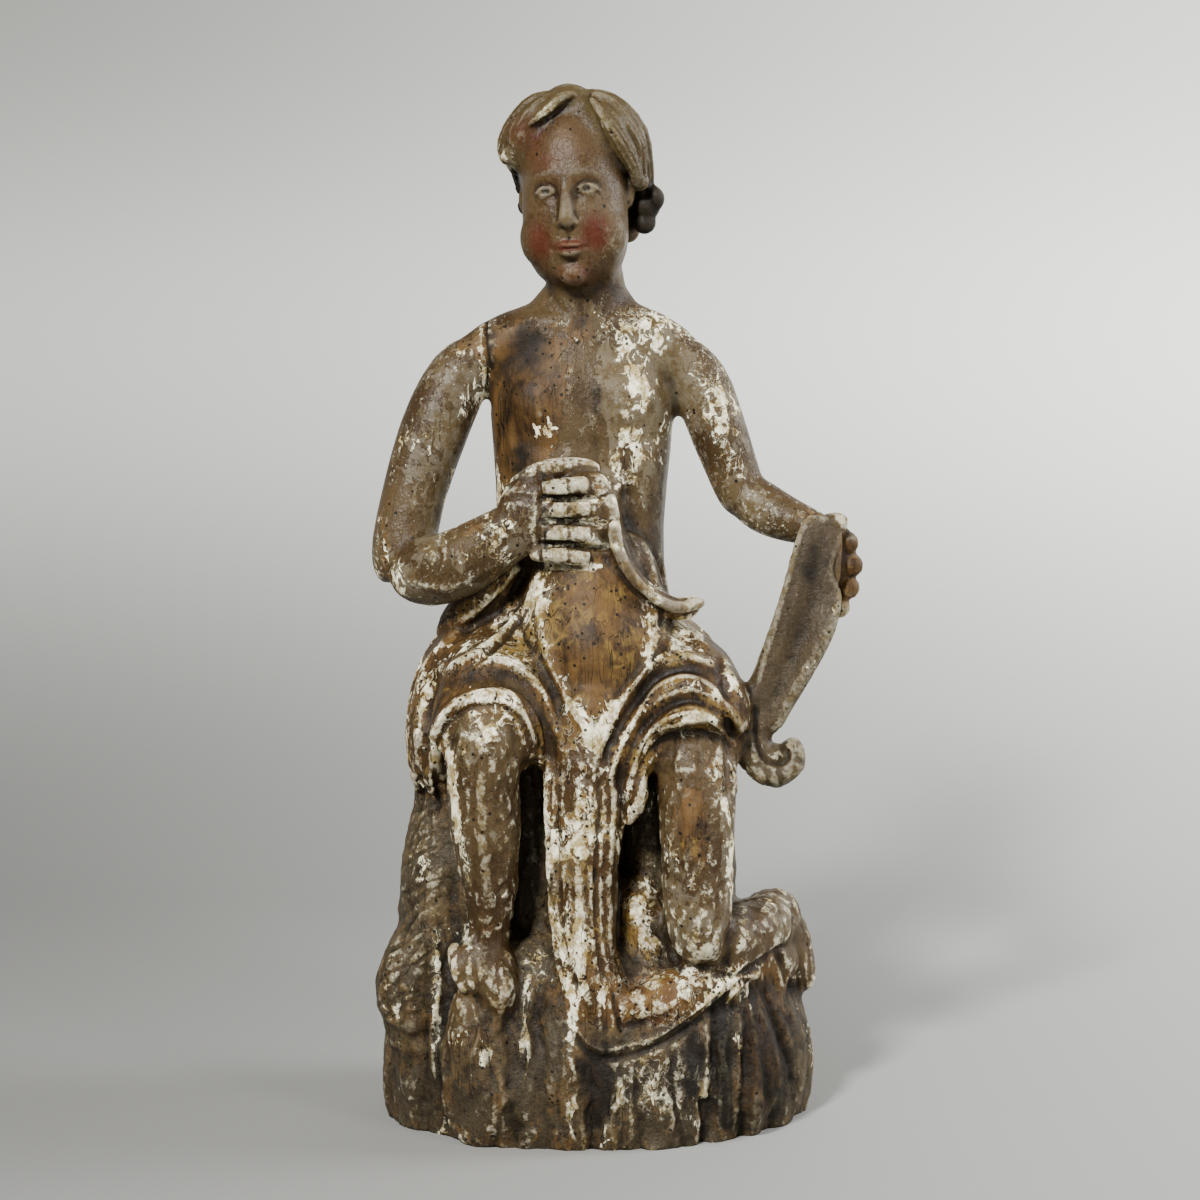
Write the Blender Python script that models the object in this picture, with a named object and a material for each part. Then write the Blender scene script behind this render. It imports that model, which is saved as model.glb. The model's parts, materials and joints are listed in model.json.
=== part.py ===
"""Carved wooden angel: a youth half kneeling on a rock, cut from one block of wood.

The figure lays one hand on its belly, holds the end of a scroll in the other, and wears a cloth that
falls in folds over both thighs and down between the legs. X runs to the viewer's right, Y away from
the viewer, Z up. The origin is on the flat underside, below the middle of the rock.
"""

import itertools
import math

import bmesh
import bpy
import numpy as np

# Driving dimension, in metres: from the underside to the crown of the head.
HEIGHT = 0.650

# The pose and the carving are drawn in millimetres, on a figure about 650 tall.
# Half widths and half depths of the main masses.
ROCK_WIDE = 142.0
ROCK_DEEP = 97.0
ROCK_TOP = 276.0  # height of the part behind the figure
CHEST_WIDE = 60.0
CHEST_DEEP = 36.0
ARM_WIDE = 21.5
THIGH_WIDE = 24.0
SHIN_WIDE = 22.0
HIP_WIDE = 90.0
SLEEVE_WIDE = 36.0  # of the cloth round a thigh
SCROLL_WIDE = 18.0
FINGER_WIDE = 6.2
HEAD_WIDE = 33.5
HAND_OUT = 164.0  # how far to the side the hand with the scroll reaches
FOLD_HIGH = 3.6  # height of the larger folds over the cloth

ROCK_VOXEL = 3.2  # grain of the surface while the rock is roughed out
BLOCK_VOXEL = 2.8  # while the figure's masses are joined to it
CARVED_VOXEL = 2.0  # while the folds and features are carved
TRIANGLES = 10400
WOOD_COLOUR = (0.36, 0.24, 0.13, 1.0)
NODE_NAME = "carved_angel"

RINGS = 18  # of the ball that each form is drawn out of
SEGMENTS = 20
FRONT = (0.0, -1.0, 0.0)
HEAD_CENTRE = (-13.0, -6.0, 584.0)
HEAD_TURN = math.radians(-10)  # towards the figure's own right
HEAD_BOW = math.radians(4)


def along(stations, share):
    """Rows of a smooth curve through the stations, at each share from 0 to 1 of its length."""
    rows = np.asarray(stations, float)
    ends = np.vstack([2 * rows[0] - rows[1], rows, 2 * rows[-1] - rows[-2]])
    place = np.clip(share, 0, 1) * (len(rows) - 1)
    index = np.minimum(place.astype(int), len(rows) - 2)
    t = (place - index)[:, None]
    a, b, c, d = (ends[index + k] for k in range(4))
    return 0.5 * (2 * b + (c - a) * t + (2 * a - 5 * b + 4 * c - d) * t**2 + (3 * b - a - 3 * c + d) * t**3)


def noise(points, seed=0):
    """A smooth random value from -1 to 1 at each point, about one swell to a unit."""
    cell = np.floor(points)
    part = points - cell
    part = part * part * (3 - 2 * part)
    total = np.zeros(len(points))
    for corner in itertools.product((0, 1), repeat=3):
        key = (cell + corner) @ (12.9898, 78.233, 37.719) + seed * 4.898
        value = np.modf(np.abs(np.sin(key) * 43758.5453))[0]
        total += value * np.where(corner, part, 1 - part).prod(axis=1)
    return 2 * total - 1


def unit_ball():
    """Points and faces of the ball that every form is drawn out of."""
    mesh = bmesh.new()
    bmesh.ops.create_uvsphere(mesh, u_segments=SEGMENTS, v_segments=RINGS, radius=1)
    points = np.array([v.co for v in mesh.verts])
    faces = [[v.index for v in face.verts] for face in mesh.faces]
    mesh.free()
    return points, faces


class Carving:
    """Overlapping rounded forms, which a voxel remesh makes one body."""

    ball_points, ball_faces = unit_ball()

    def __init__(self):
        self.points = []
        self.faces = []
        self.count = 0
        self.at()

    def at(self, centre=(0, 0, 0), turn=0.0, bow=0.0):
        """Draws what follows in a frame with this centre, turned about Z and bowed forwards."""
        self.turn = turned(turn, bow)
        self.centre = np.asarray(centre, float)

    def add(self, points, faces):
        """Adds a shell of its own."""
        self.points.append(points)
        self.faces.extend([[i + self.count for i in face] for face in faces])
        self.count += len(points)

    def form(self, *stations, full=0.5, front=FRONT):
        """A rounded form through stations (x, y, z, half width, half depth): a ball drawn out along them.

        full is 1 for an ellipsoid and less for blunter ends. The half depth is measured towards front.
        """
        rows = [tuple(s) if len(s) == 5 else (*s, s[3]) for s in stations]
        lift = np.arccos(np.clip(-self.ball_points[:, 2], -1, 1))
        share = (1 - np.cos(lift)) / 2
        turn = np.arctan2(self.ball_points[:, 1], self.ball_points[:, 0])
        swell = np.sin(lift).clip(0, 1) ** full
        line = along(rows, share)
        step = along(rows, share + 0.01)[:, :3] - along(rows, share - 0.01)[:, :3]
        tangent = step / np.linalg.norm(step, axis=1)[:, None]
        deep = np.asarray(front, float) - tangent * (tangent @ np.asarray(front, float))[:, None]
        weak = np.linalg.norm(deep, axis=1) < 0.25
        deep[weak] = np.array([0, 0, 1.0]) - tangent[weak] * tangent[weak][:, 2:3]
        deep /= np.linalg.norm(deep, axis=1)[:, None]
        wide = np.cross(deep, tangent)
        across = (line[:, 3] * swell * np.cos(turn))[:, None] * wide
        through = (line[:, 4] * swell * np.sin(turn))[:, None] * deep
        self.add((line[:, :3] + across - through) @ self.turn.T + self.centre, self.ball_faces)

    def ball(self, x, y, z, wide, deep=None, tall=None):
        """An ellipsoid with these half sizes."""
        tall = tall or wide
        self.form((x, y, z - tall, wide, deep or wide), (x, y, z + tall, wide, deep or wide), full=1)

    def body(self, voxel):
        """The forms as one closed mesh object with a surface grain of voxel."""
        mesh = bpy.data.meshes.new(NODE_NAME)
        mesh.from_pydata(np.vstack(self.points), [], self.faces)
        obj = bpy.data.objects.new(NODE_NAME, mesh)
        bpy.context.scene.collection.objects.link(obj)
        remesh = obj.modifiers.new("one body", "REMESH")
        remesh.mode = "VOXEL"
        remesh.voxel_size = voxel
        return applied(obj)


def turned(turn, bow):
    """The matrix of a turn about Z after a bow forwards, both in radians."""
    cos_t, sin_t, cos_b, sin_b = math.cos(turn), math.sin(turn), math.cos(bow), math.sin(bow)
    about_z = np.array([(cos_t, -sin_t, 0), (sin_t, cos_t, 0), (0, 0, 1)])
    about_x = np.array([(1, 0, 0), (0, cos_b, -sin_b), (0, sin_b, cos_b)])
    return about_z @ about_x


def applied(obj):
    """Gives the object the mesh that its modifiers make."""
    graph = bpy.context.evaluated_depsgraph_get()
    mesh = bpy.data.meshes.new_from_object(obj.evaluated_get(graph))
    old = obj.data
    obj.modifiers.clear()
    obj.data = mesh
    bpy.data.meshes.remove(old)
    return obj


class Surface:
    """The points and edges of a body, for smoothing and chiselling."""

    def __init__(self, obj):
        self.mesh = obj.data
        self.count = len(self.mesh.vertices)
        edges = np.empty(len(self.mesh.edges) * 2, np.int32)
        self.mesh.edges.foreach_get("vertices", edges)
        self.first, self.second = edges.reshape(-1, 2).T
        self.degree = np.bincount(edges, minlength=self.count).clip(1)
        points = np.empty(self.count * 3, np.float32)
        self.mesh.vertices.foreach_get("co", points)
        self.points = points.reshape(-1, 3).astype(float)

    def store(self):
        """Writes the points back to the mesh."""
        self.mesh.vertices.foreach_set("co", self.points.astype(np.float32).ravel())
        self.mesh.update()

    def normals(self):
        """Unit normals of the points as they are now."""
        self.store()
        found = np.empty(self.count * 3, np.float32)
        self.mesh.vertex_normals.foreach_get("vector", found)
        return found.reshape(-1, 3).astype(float)

    def pull(self):
        """From each point to the mean of its neighbours."""
        mean = np.empty_like(self.points)
        for axis in range(3):
            value = self.points[:, axis]
            mean[:, axis] = np.bincount(self.first, value[self.second], self.count)
            mean[:, axis] += np.bincount(self.second, value[self.first], self.count)
        return mean / self.degree[:, None] - self.points

    def fillet(self, rounds):
        """Fills the sharp valleys where forms meet, and leaves what stands out."""
        for _ in range(rounds):
            normals = self.normals()
            pull = self.pull()
            hollow = (pull * normals).sum(axis=1) > 0
            self.points += 0.6 * pull * hollow[:, None]

    def smooth(self, rounds):
        """Softens everything a little, with a push back against shrinking."""
        for _ in range(rounds):
            self.points += 0.5 * self.pull()
            self.points -= 0.45 * self.pull()

    def stroke(self, line, width, lift, reach=200.0, side=0.0):
        """Raises (or with lift below 0 cuts) the surface beside a line of (x, z) seen from the front.

        width is how far it reaches to each side of the line, and reach the deepest y that it touches.
        side turns the view: the line is then drawn as seen from that many degrees round the figure.
        """
        view = self.points @ turned(math.radians(side), 0)
        facing = -(self.normals() @ turned(math.radians(side), 0))[:, 1]
        route = along(line, np.linspace(0, 1, 8 * len(line)))
        low, high = route.min(axis=0) - width, route.max(axis=0) + width
        seen = view[:, [0, 2]]
        near = np.flatnonzero(((seen > low) & (seen < high)).all(axis=1) & (view[:, 1] < reach) & (facing > 0.05))
        gap, place = distance_to(route, seen[near])
        profile = (1 - (gap / width) ** 2).clip(0, 1) ** 2
        fade = np.sin(math.pi * (0.04 + 0.92 * place)) ** 0.4
        amount = lift * profile * fade * (facing[near] * 2.5).clip(0, 1)
        self.points[near] += self.normals()[near] * amount[:, None]


def distance_to(route, points):
    """Distance from each 2D point to a polyline, and the share of its length at the nearest place."""
    best, place = np.full(len(points), np.inf), np.zeros(len(points))
    for index, (a, b) in enumerate(zip(route, route[1:])):
        leg = b - a
        t = ((points - a) @ leg / max(leg @ leg, 1e-9)).clip(0, 1)
        gap = np.linalg.norm(points - a - t[:, None] * leg, axis=1)
        closer = gap < best
        best[closer] = gap[closer]
        place[closer] = (index + t[closer]) / (len(route) - 1)
    return best, place


def rock(c):
    """The rock that the figure kneels on and leans against."""
    w, d = ROCK_WIDE, ROCK_DEEP
    c.form((-3, -8, -34, w - 1, d - 2), (-3, -9, 0, w, d), (-2, -9, 44, w - 3, d - 1), (-2, -8, 78, w - 8, d - 5),
           (0, 0, 104, w - 30, d - 19), full=0.2)
    c.form((-16, 22, 30, 100, 62), (-14, 20, 130, 98, 62), (-12, 22, 215, 92, 58), (-10, 26, ROCK_TOP, 84, 50),
           full=0.25)
    # lumps on the viewer's left, from the ground up to the torn edge of the cloth
    c.form((-112, -40, 50, 26, 40), (-113, -44, 92, 25, 34), (-110, -38, 124, 18, 26), full=0.4)
    c.form((-100, -14, 50, 30, 50), (-101, -12, 130, 26, 46), (-96, -4, 190, 23, 40), (-94, 0, 230, 22, 34), full=0.4)
    # ledges under the planted foot and beside it, and the wall behind the shin
    c.form((-68, -66, 0, 34, 42), (-68, -72, 56, 33, 36), (-66, -70, 91, 27, 29), full=0.3)
    c.form((-26, -68, 0, 28, 38), (-24, -72, 56, 25, 34), (-20, -64, 96, 22, 26), full=0.3)
    c.form((-70, -26, 60, 26, 34), (-70, -28, 150, 24, 32), (-70, -22, 240, 24, 32), full=0.3)
    # shoulder of rock under the kneeling leg, and the wall behind the thigh
    c.form((40, -62, 0, 32, 44), (43, -62, 50, 30, 38), (46, -54, 84, 28, 32), full=0.3)
    c.form((84, -44, 0, 36, 54), (87, -40, 50, 34, 46), (88, -30, 94, 30, 40), full=0.3)
    c.form((112, -14, -10, 26, 54), (113, -12, 40, 25, 48), (108, -6, 82, 20, 36), full=0.3)
    c.form((62, -14, 70, 28, 42), (62, -14, 160, 27, 42), (60, -10, 250, 27, 42), full=0.25)
    # the rough walls at the back of the hollows between the legs
    c.form((-36, -34, 60, 20, 26), (-37, -35, 150, 19, 25), (-38, -30, 240, 18, 24), full=0.2)
    c.form((34, -30, 90, 18, 26), (33, -31, 160, 17, 25), (32, -28, 240, 17, 24), full=0.2)


def rough_rock(surface):
    """Gouge marks and upright flutes of the rock."""
    p = surface.points
    normals = surface.normals()
    swell = 4.0 * noise(p / (34, 34, 90), 3) + 2.4 * noise(p / (15, 15, 48), 7)
    surface.points += normals * (swell * (1 - normals[:, 2].clip(0, 1) * 0.6))[:, None]
    # flutes on the viewer's right, and the hollows under the planted foot
    for x, top, width, deep in ((80, 92, 5, 3), (93, 96, 6, 4), (108, 88, 6, 4), (124, 70, 5, 3.5), (-90, 70, 7, 3),
                                (-55, 90, 8, 3.5), (-31, 96, 8, 4), (0, 60, 8, 4), (66, 60, 6, 5)):
        surface.stroke(((x, top), (x + 2, 50), (x + 1, -10)), width, -deep)
    for side, (x, width, deep) in itertools.product((90, 135, 180, 225, 270),
                                                    ((-64, 9, 5), (-34, 7, 3), (8, 10, 5.5), (40, 6, 3), (72, 9, 4))):
        surface.stroke(((x, 88), (x + 6, 40), (x - 2, -10)), width, -deep, side=side)
    # the cut that splits the big lump on the viewer's left
    surface.stroke(((-140, 66), (-112, 60), (-92, 72)), 8, -7)


def torso(c):
    """Chest, belly, neck and the slope of the shoulders."""
    w, d = CHEST_WIDE, CHEST_DEEP
    c.form((-12, 12, 262, 78, 46), (-12, 10, 300, 74, 46), (-11, 6, 340, w - 2, d + 7), (-10, 5, 380, w - 6, d + 2),
           (-9, 4, 420, w - 3, d), (-9, 3, 455, w, d - 1), (-9, 4, 482, w - 4, d - 5), (-8, 6, 506, 40, 24), full=0.3)
    # the yoke of the shoulders, and the slope from the neck
    c.form((-92, 2, 466, 19, 19), (-68, 3, 484, 20, 20), (-40, 4, 492, 22, 23), (-8, 5, 494, 24, 25),
           (24, 4, 492, 22, 23), (48, 3, 483, 20, 20), (70, 2, 464, 18, 18), full=0.35, front=(0, 0, 1))
    c.form((-5, 8, 488, 27, 25), (-5, 5, 515, 24.5, 24), (-6, -1, 550, 24, 24), full=0.3)
    for side in (-1, 1):
        c.form((-6 + 4 * side, 10, 536, 15, 15), (-8 + 22 * side, 8, 503, 17, 18), (-9 + 44 * side, 6, 484, 14, 16),
               full=0.5)
        c.form((-9 + 30 * side, -6, 470, 24, 22), (-9 + 24 * side, -13, 450, 22, 18), (-9 + 20 * side, -12, 430, 18, 17),
               full=0.8)
    c.form((-9, -10, 420, 34, 22), (-9, -14, 386, 38, 24), (-9, -14, 350, 38, 26), full=0.6)


def right_arm(c):
    """The arm on the viewer's left, bent across the belly."""
    w = ARM_WIDE
    c.form((-72, 2, 486, w - 1.5), (-88, 2, 467, w + 0.5), (-103, -2, 434, w + 0.5, w - 0.5), (-116, -7, 392, w - 1),
           (-122, -13, 356, w + 0.5, w - 0.5), (-119, -17, 342, w + 0.5, w - 0.5), full=0.35)
    c.form((-123, -16, 350, w + 2.5, w + 1.5), (-104, -27, 346, w + 1.5, w + 0.5), (-84, -37, 353, w),
           (-62, -45, 366, w - 1.5, w - 3.5), (-42, -50, 378, w - 0.5, 15), full=0.35)
    c.form((-54, -46, 373, 21, 15), (-38, -51, 381, 26, 13), (-22, -55, 382, 26, 11), full=0.4)


def right_fingers(c):
    """Four fingers laid across the belly, and the thumb above them."""
    w = FINGER_WIDE
    for z_root, z_tip, length in ((399, 400, 37), (385.5, 385, 42), (371.5, 369, 42), (358.5, 354, 37)):
        c.form((-38, -54, z_root, w + 1.2, 7), (-22, -62, z_root, w + 0.8, 7.4), (-8, -62, (z_root + z_tip) / 2, w, 6.6),
               (-38 + length * 0.92, -59, z_tip, w - 0.7, 5.8), (-37 + length, -54, z_tip, w - 1.6, 5), full=0.4)
    c.form((-52, -46, 396, 9), (-38, -50, 406, 8), (-24, -49, 411, 6.5), (-8, -44, 412, 5.8), (2, -40, 410, 5),
           full=0.45)


def left_arm(c):
    """The arm on the viewer's right, reaching down and out to the scroll."""
    c.form((50, 3, 487, 19, 19), (66, 2, 465, 20, 20), (77, 0, 436, 18.5, 18), (86, 0, 412, 17, 17),
           (93, -1, 394, 16.5, 17), (99, -4, 386, 15, 16), full=0.35)
    c.form((90, -1, 400, 16, 17), (104, -7, 387, 16.5, 16), (122, -15, 378, 14.5, 14), (146, -24, 371, 12, 12),
           full=0.35)
    c.ball(HAND_OUT - 14, -22, 354, 14, 12, 24)


def left_hand(c):
    """Knuckles and thumb that grip the scroll from behind."""
    for z, inset in ((364, 3), (350, 0), (336, 2), (324, 8)):
        x = HAND_OUT - inset
        c.form((x - 18, -20, z, 7), (x - 4, -25, z, 7.6), (x - 5, -34, z - 1, 6.5), full=0.6)
    c.form((140, -30, 376, 7), (150, -36, 377, 6.5), (156, -38, 376, 5.5), full=0.5)


def scroll(c):
    """The banderole that hangs from the left hand and curls up at its end."""
    w = SCROLL_WIDE
    c.form((141, -38, 382, w - 3, 5), (138, -41, 362, w - 1, 5.5), (131, -43, 328, w, 6), (120, -43, 296, w, 6.5),
           (107, -42, 268, w - 3, 9), (101, -42, 246, w - 6, 12), full=0.25)
    c.form((151, -46, 336, 4), (143, -48, 312, 6), (130, -48, 288, 6.5), (117, -47, 266, 7), (108, -45, 246, 7),
           full=0.4)
    # the volute, its outer turn first
    c.form((99, -42, 258, 11, 13), (97, -43, 240, 11, 14), (101, -44, 226, 10, 14), (112, -45, 221, 9, 14),
           (122, -45, 227, 8, 14), (123, -45, 237, 7, 13), (116, -45, 241, 5, 11), full=0.25)
    c.form((108, -45, 234, 9, 12), (113, -45, 231, 8, 11))
    c.form((98, -36, 268, 10), (86, -28, 262, 13), (74, -22, 254, 14), full=0.4)


def right_leg(c):
    """The bent leg on the viewer's left, with its foot on the rock."""
    c.form((-30, 20, 262, 34), (-46, -24, 264, 31), (-62, -70, 257, 27), (-66, -90, 250, 24.5), full=0.4)
    w = SHIN_WIDE
    c.form((-66, -84, 264, w, w - 2), (-67, -88, 248, w + 2), (-68, -87, 224, w + 0.5, w + 1), (-67, -84, 190, w - 1, w),
           (-64, -81, 158, w - 4.5, w - 4), (-65, -80, 132, w - 7.5, w - 6), (-66, -80, 108, w - 7, w - 5), full=0.35)
    c.form((-66, -68, 112, 15, 15), (-67, -88, 112, 17, 15), (-66, -102, 105, 19, 11), (-65, -110, 98, 16, 7),
           full=0.45, front=(0, 0, 1))


def left_leg(c):
    """The kneeling leg on the viewer's right, its shin laid back along the rock."""
    w = THIGH_WIDE
    c.form((36, 20, 280, w + 12), (50, -22, 262, w + 9), (60, -58, 236, w + 3), (62, -72, 200, w),
           (62, -78, 160, w - 2, w - 1), (63, -79, 130, w - 2.5, w - 1), (64, -78, 112, w - 5, w - 3), full=0.3)
    c.form((64, -76, 121, 20, 19), (82, -60, 119, 21, 19), (100, -38, 122, 21, 19), (114, -18, 127, 19, 17),
           (123, -6, 128, 15, 14), full=0.35, front=(0, 0, 1))
    c.form((116, -10, 128, 14, 15), (124, -8, 112, 13, 16), (130, -8, 92, 11, 17), (134, -12, 76, 9, 13), full=0.35)
    # the rock and the sole's edge that fill the space under the shin
    c.form((92, -38, 90, 26, 26), (108, -24, 100, 22, 22), (116, -14, 106, 16, 16))


def skirt(c):
    """The cloth over hips and thighs, without its folds."""
    h, w = HIP_WIDE, SLEEVE_WIDE
    c.form((-14, 12, 340, 58, 44), (-15, 10, 314, h - 12, 50), (-14, 6, 288, h, 54), (-10, 4, 250, h + 2, 54),
           (-8, 6, 222, h - 6, 48), full=0.25)
    # the sleeve of cloth round the right thigh, cut off square behind the knee
    c.form((-40, 14, 284, w + 8, 40), (-52, -28, 275, w + 7, 38), (-61, -62, 263, w + 3, 34), (-66, -84, 253, w, 31),
           (-67, -92, 249, w - 1, 30), full=0.15)
    # the cloth that hangs beside it down to a torn edge
    c.form((-78, 4, 306, 22, 36), (-92, -8, 276, 22, 44), (-101, -14, 240, 19, 46), (-103, -12, 206, 16, 40),
           full=0.3)
    # the sleeve round the left thigh, cut off square above the knee
    c.form((20, 8, 300, w + 2, 38), (40, -24, 280, w + 2, 38), (57, -50, 266, w + 1, 36), (60, -66, 252, w - 1.5, 33),
           (61, -70, 246, w - 2, 32), full=0.15)
    c.form((50, 6, 306, 12, 34), (72, 2, 268, 17, 42), (79, 4, 226, 13, 38), full=0.3)
    # the lap between the thighs, sloping forward from the belly to the top of the hanging cloth
    c.form((0, -14, 376, 34, 36), (0, -26, 334, 44, 38), (-1, -38, 294, 46, 42), (-1, -52, 256, 30, 34), full=0.25)
    # the cloth that joins the sleeves to it
    c.form((-30, -50, 290, 20), (-32, -62, 262, 16), (-26, -72, 240, 12), (-24, -74, 218, 8), full=0.4)
    c.form((22, -50, 286, 20), (24, -66, 258, 17), (22, -74, 236, 15), (20, -78, 214, 10), full=0.4)
    # the cloth that hangs between the legs
    c.form((-2, -72, 276, 20, 16), (-4, -77, 240, 28, 16), (-7, -80, 196, 25, 16), (-8, -82, 152, 21, 16),
           (-6, -86, 112, 19, 16), (2, -90, 84, 22, 14), (6, -92, 64, 22, 11), full=0.25)
    c.form((2, -58, 240, 18, 26), (0, -54, 180, 14, 28), (0, -58, 120, 16, 28), full=0.3)
    # the cloth spread under the kneeling leg
    c.form((4, -82, 80, 17, 16), (34, -84, 86, 19, 16), (66, -72, 95, 19, 17), (92, -50, 102, 17, 16),
           (108, -28, 106, 12, 12), full=0.35, front=(0, 0, 1))
    c.form((32, -64, 92, 20), (28, -58, 130, 17), (24, -50, 160, 12))


def carved_folds(surface):
    """Ridges and hollows of the cloth, drawn as they are seen from the front."""
    f = FOLD_HIGH
    # above the right knee: the upper ridge, the broad hollow below it, and the hem
    surface.stroke(((-104, 272), (-96, 284), (-81, 293), (-63, 296), (-45, 290), (-32, 275), (-24, 254)), 6.5, f)
    surface.stroke(((-102, 258), (-92, 276), (-76, 286), (-58, 287), (-43, 279), (-34, 264), (-29, 240)), 8, -6)
    surface.stroke(((-102, 244), (-93, 262), (-79, 275), (-63, 279), (-48, 275), (-38, 263), (-33, 247), (-34, 232)),
                   4, f * 0.8)
    # above the left thigh: three ridges with hollows between them
    surface.stroke(((-4, 243), (6, 261), (18, 275), (34, 291), (50, 301)), 5.5, f * 0.8)
    surface.stroke(((4, 236), (14, 257), (28, 276), (44, 289), (62, 290), (78, 281), (89, 262)), 5.5, -4.5)
    surface.stroke(((8, 226), (18, 250), (27, 265), (38, 279), (53, 285), (66, 282), (78, 271), (88, 252)), 4.5, f)
    surface.stroke(((14, 222), (23, 246), (33, 261), (46, 271), (61, 273), (76, 264), (87, 246)), 5, -4)
    surface.stroke(((17, 214), (26, 242), (35, 255), (47, 263), (62, 265), (74, 256), (84, 243)), 4, f * 0.8)
    # the V below the belly, and the long folds that run down from the hand
    surface.stroke(((-35, 340), (-33, 316), (-27, 292), (-13, 266), (0, 245), (0, 222)), 6, f * 0.7)
    surface.stroke(((33, 340), (35, 316), (30, 292), (16, 266), (2, 245)), 6, f * 0.7)
    surface.stroke(((-38, 334), (-48, 318), (-62, 305), (-82, 294), (-98, 286)), 5, f)
    surface.stroke(((-46, 344), (-60, 328), (-76, 314), (-92, 303)), 5.5, -4)
    surface.stroke(((40, 316), (56, 306), (70, 299)), 6, -3)
    # the hanging cloth: a border on the viewer's left, and upright ridges
    surface.stroke(((-30, 236), (-30, 200), (-28, 156), (-24, 118), (-14, 86)), 4, f * 0.5)
    surface.stroke(((-20, 240), (-20, 206), (-19, 160), (-16, 120), (-8, 92)), 4.5, -f * 0.7)
    surface.stroke(((-9, 232), (-11, 206), (-12, 160), (-9, 120), (-3, 92)), 5, f * 0.5)
    surface.stroke(((0, 236), (1, 204), (0, 170), (2, 130), (6, 100)), 4.5, -f * 0.8)
    surface.stroke(((9, 230), (10, 206), (8, 160), (10, 116), (14, 90)), 4.5, f * 0.5)
    surface.stroke(((16, 222), (16, 190), (14, 150), (16, 112)), 4, -2)
    # lower hem of the cloth under the knee
    surface.stroke(((-10, 62), (14, 54), (40, 58), (64, 74), (90, 94), (106, 104)), 6, -5)
    surface.stroke(((-10, 72), (10, 65), (34, 68), (58, 82), (84, 100)), 5, 3)
    # the spine and the crease of the chest, plainly cut
    surface.stroke(((-9, 490), (-9, 440), (-10, 380), (-11, 340)), 9, -4, side=180)
    for blade in (-1, 1):
        surface.stroke(((-9 + 20 * blade, 470), (-9 + 30 * blade, 440), (-9 + 36 * blade, 420)), 10, 3, side=180)


def rolled_hems(c):
    """The sash, the ledge at the hip and the torn tail, which stand clear of the cloth."""
    c.form((6, -46, 384, 6), (13, -50, 356, 7), (28, -50, 336, 7.5), (44, -43, 322, 8), (57, -36, 320, 8),
           (63, -33, 325, 7), full=0.35)
    c.form((-50, -30, 352, 10), (-70, -20, 330, 14), (-86, -8, 310, 15), (-90, 4, 296, 13), full=0.4)
    c.form((24, -82, 238, 6), (25, -84, 214, 7), (19, -84, 196, 3), full=0.4)


def head(c):
    """Skull, face and the mass of the hair, in the head's own frame."""
    c.at(HEAD_CENTRE, HEAD_TURN, HEAD_BOW)
    w = HEAD_WIDE
    c.form((0, -2, 46, w - 4, 26), (0, -5, 22, w - 1, 29), (0, -6, 0, w, 30), (0, -7, -20, w, 30),
           (0, -9, -38, w - 2.5, 28), (0, -11, -52, 24, 24), (0, -13, -60, 17, 18), full=0.35)
    for side in (-1, 1):
        c.ball(16.5 * side, -19.5, -24, 15, 13, 18)
    c.ball(0, -26.5, -50, 10, 8.5, 9)
    c.form((0, 14, -44, 24, 28), (0, 14, -10, 34, 34), (0, 14, 20, 38.5, 39), (0, 12, 48, 28, 30), full=0.5)
    c.at()


def features(c):
    """Nose, lips, eyelids and brows, on calm and even proportions."""
    c.at(HEAD_CENTRE, HEAD_TURN, HEAD_BOW)
    c.form((0, -31.6, 8, 3.2, 3.6), (0, -33.4, -1, 3.2, 4), (0, -36.8, -11, 3.9, 4.8), (0, -38.6, -18, 4.7, 5),
           (0, -35.8, -22.6, 4.2, 4.2), full=0.5)
    for side in (-1, 1):
        c.ball(4.7 * side, -35, -20, 3.2, 3.9, 3)
        c.ball(13.2 * side, -26, -2.2, 7.4, 8, 6.6)
        c.form((5.8 * side, -32, -4, 1.5), (9.4 * side, -33.6, 0.6, 1.8), (13.2 * side, -34, 2, 1.9),
               (17.4 * side, -32.5, 0.6, 1.8), (21.4 * side, -28.8, -3.4, 1.5), full=0.3)
        c.form((6.6 * side, -31.8, -4.6, 1.4), (13.2 * side, -33, -6.8, 1.6), (20.2 * side, -29.4, -4.2, 1.4),
               full=0.3)
        c.form((4.5 * side, -33, 9.5, 2.6), (12 * side, -32.6, 12, 2.8), (22 * side, -27, 9, 2.6), full=0.4)
    c.form((-10, -33.4, -34.9, 1.7, 1.9), (-3.4, -36.6, -33.4, 2.4, 2.8), (0, -36.8, -34.1, 2, 2.8),
           (3.4, -36.6, -33.4, 2.4, 2.8), (10, -33.4, -34.9, 1.7, 1.9), full=0.3)
    c.form((-8, -33.8, -37, 1.7, 1.9), (0, -36.4, -38.3, 2.9, 2.8), (8, -33.8, -37, 1.7, 1.9), full=0.3)
    c.at()


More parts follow.
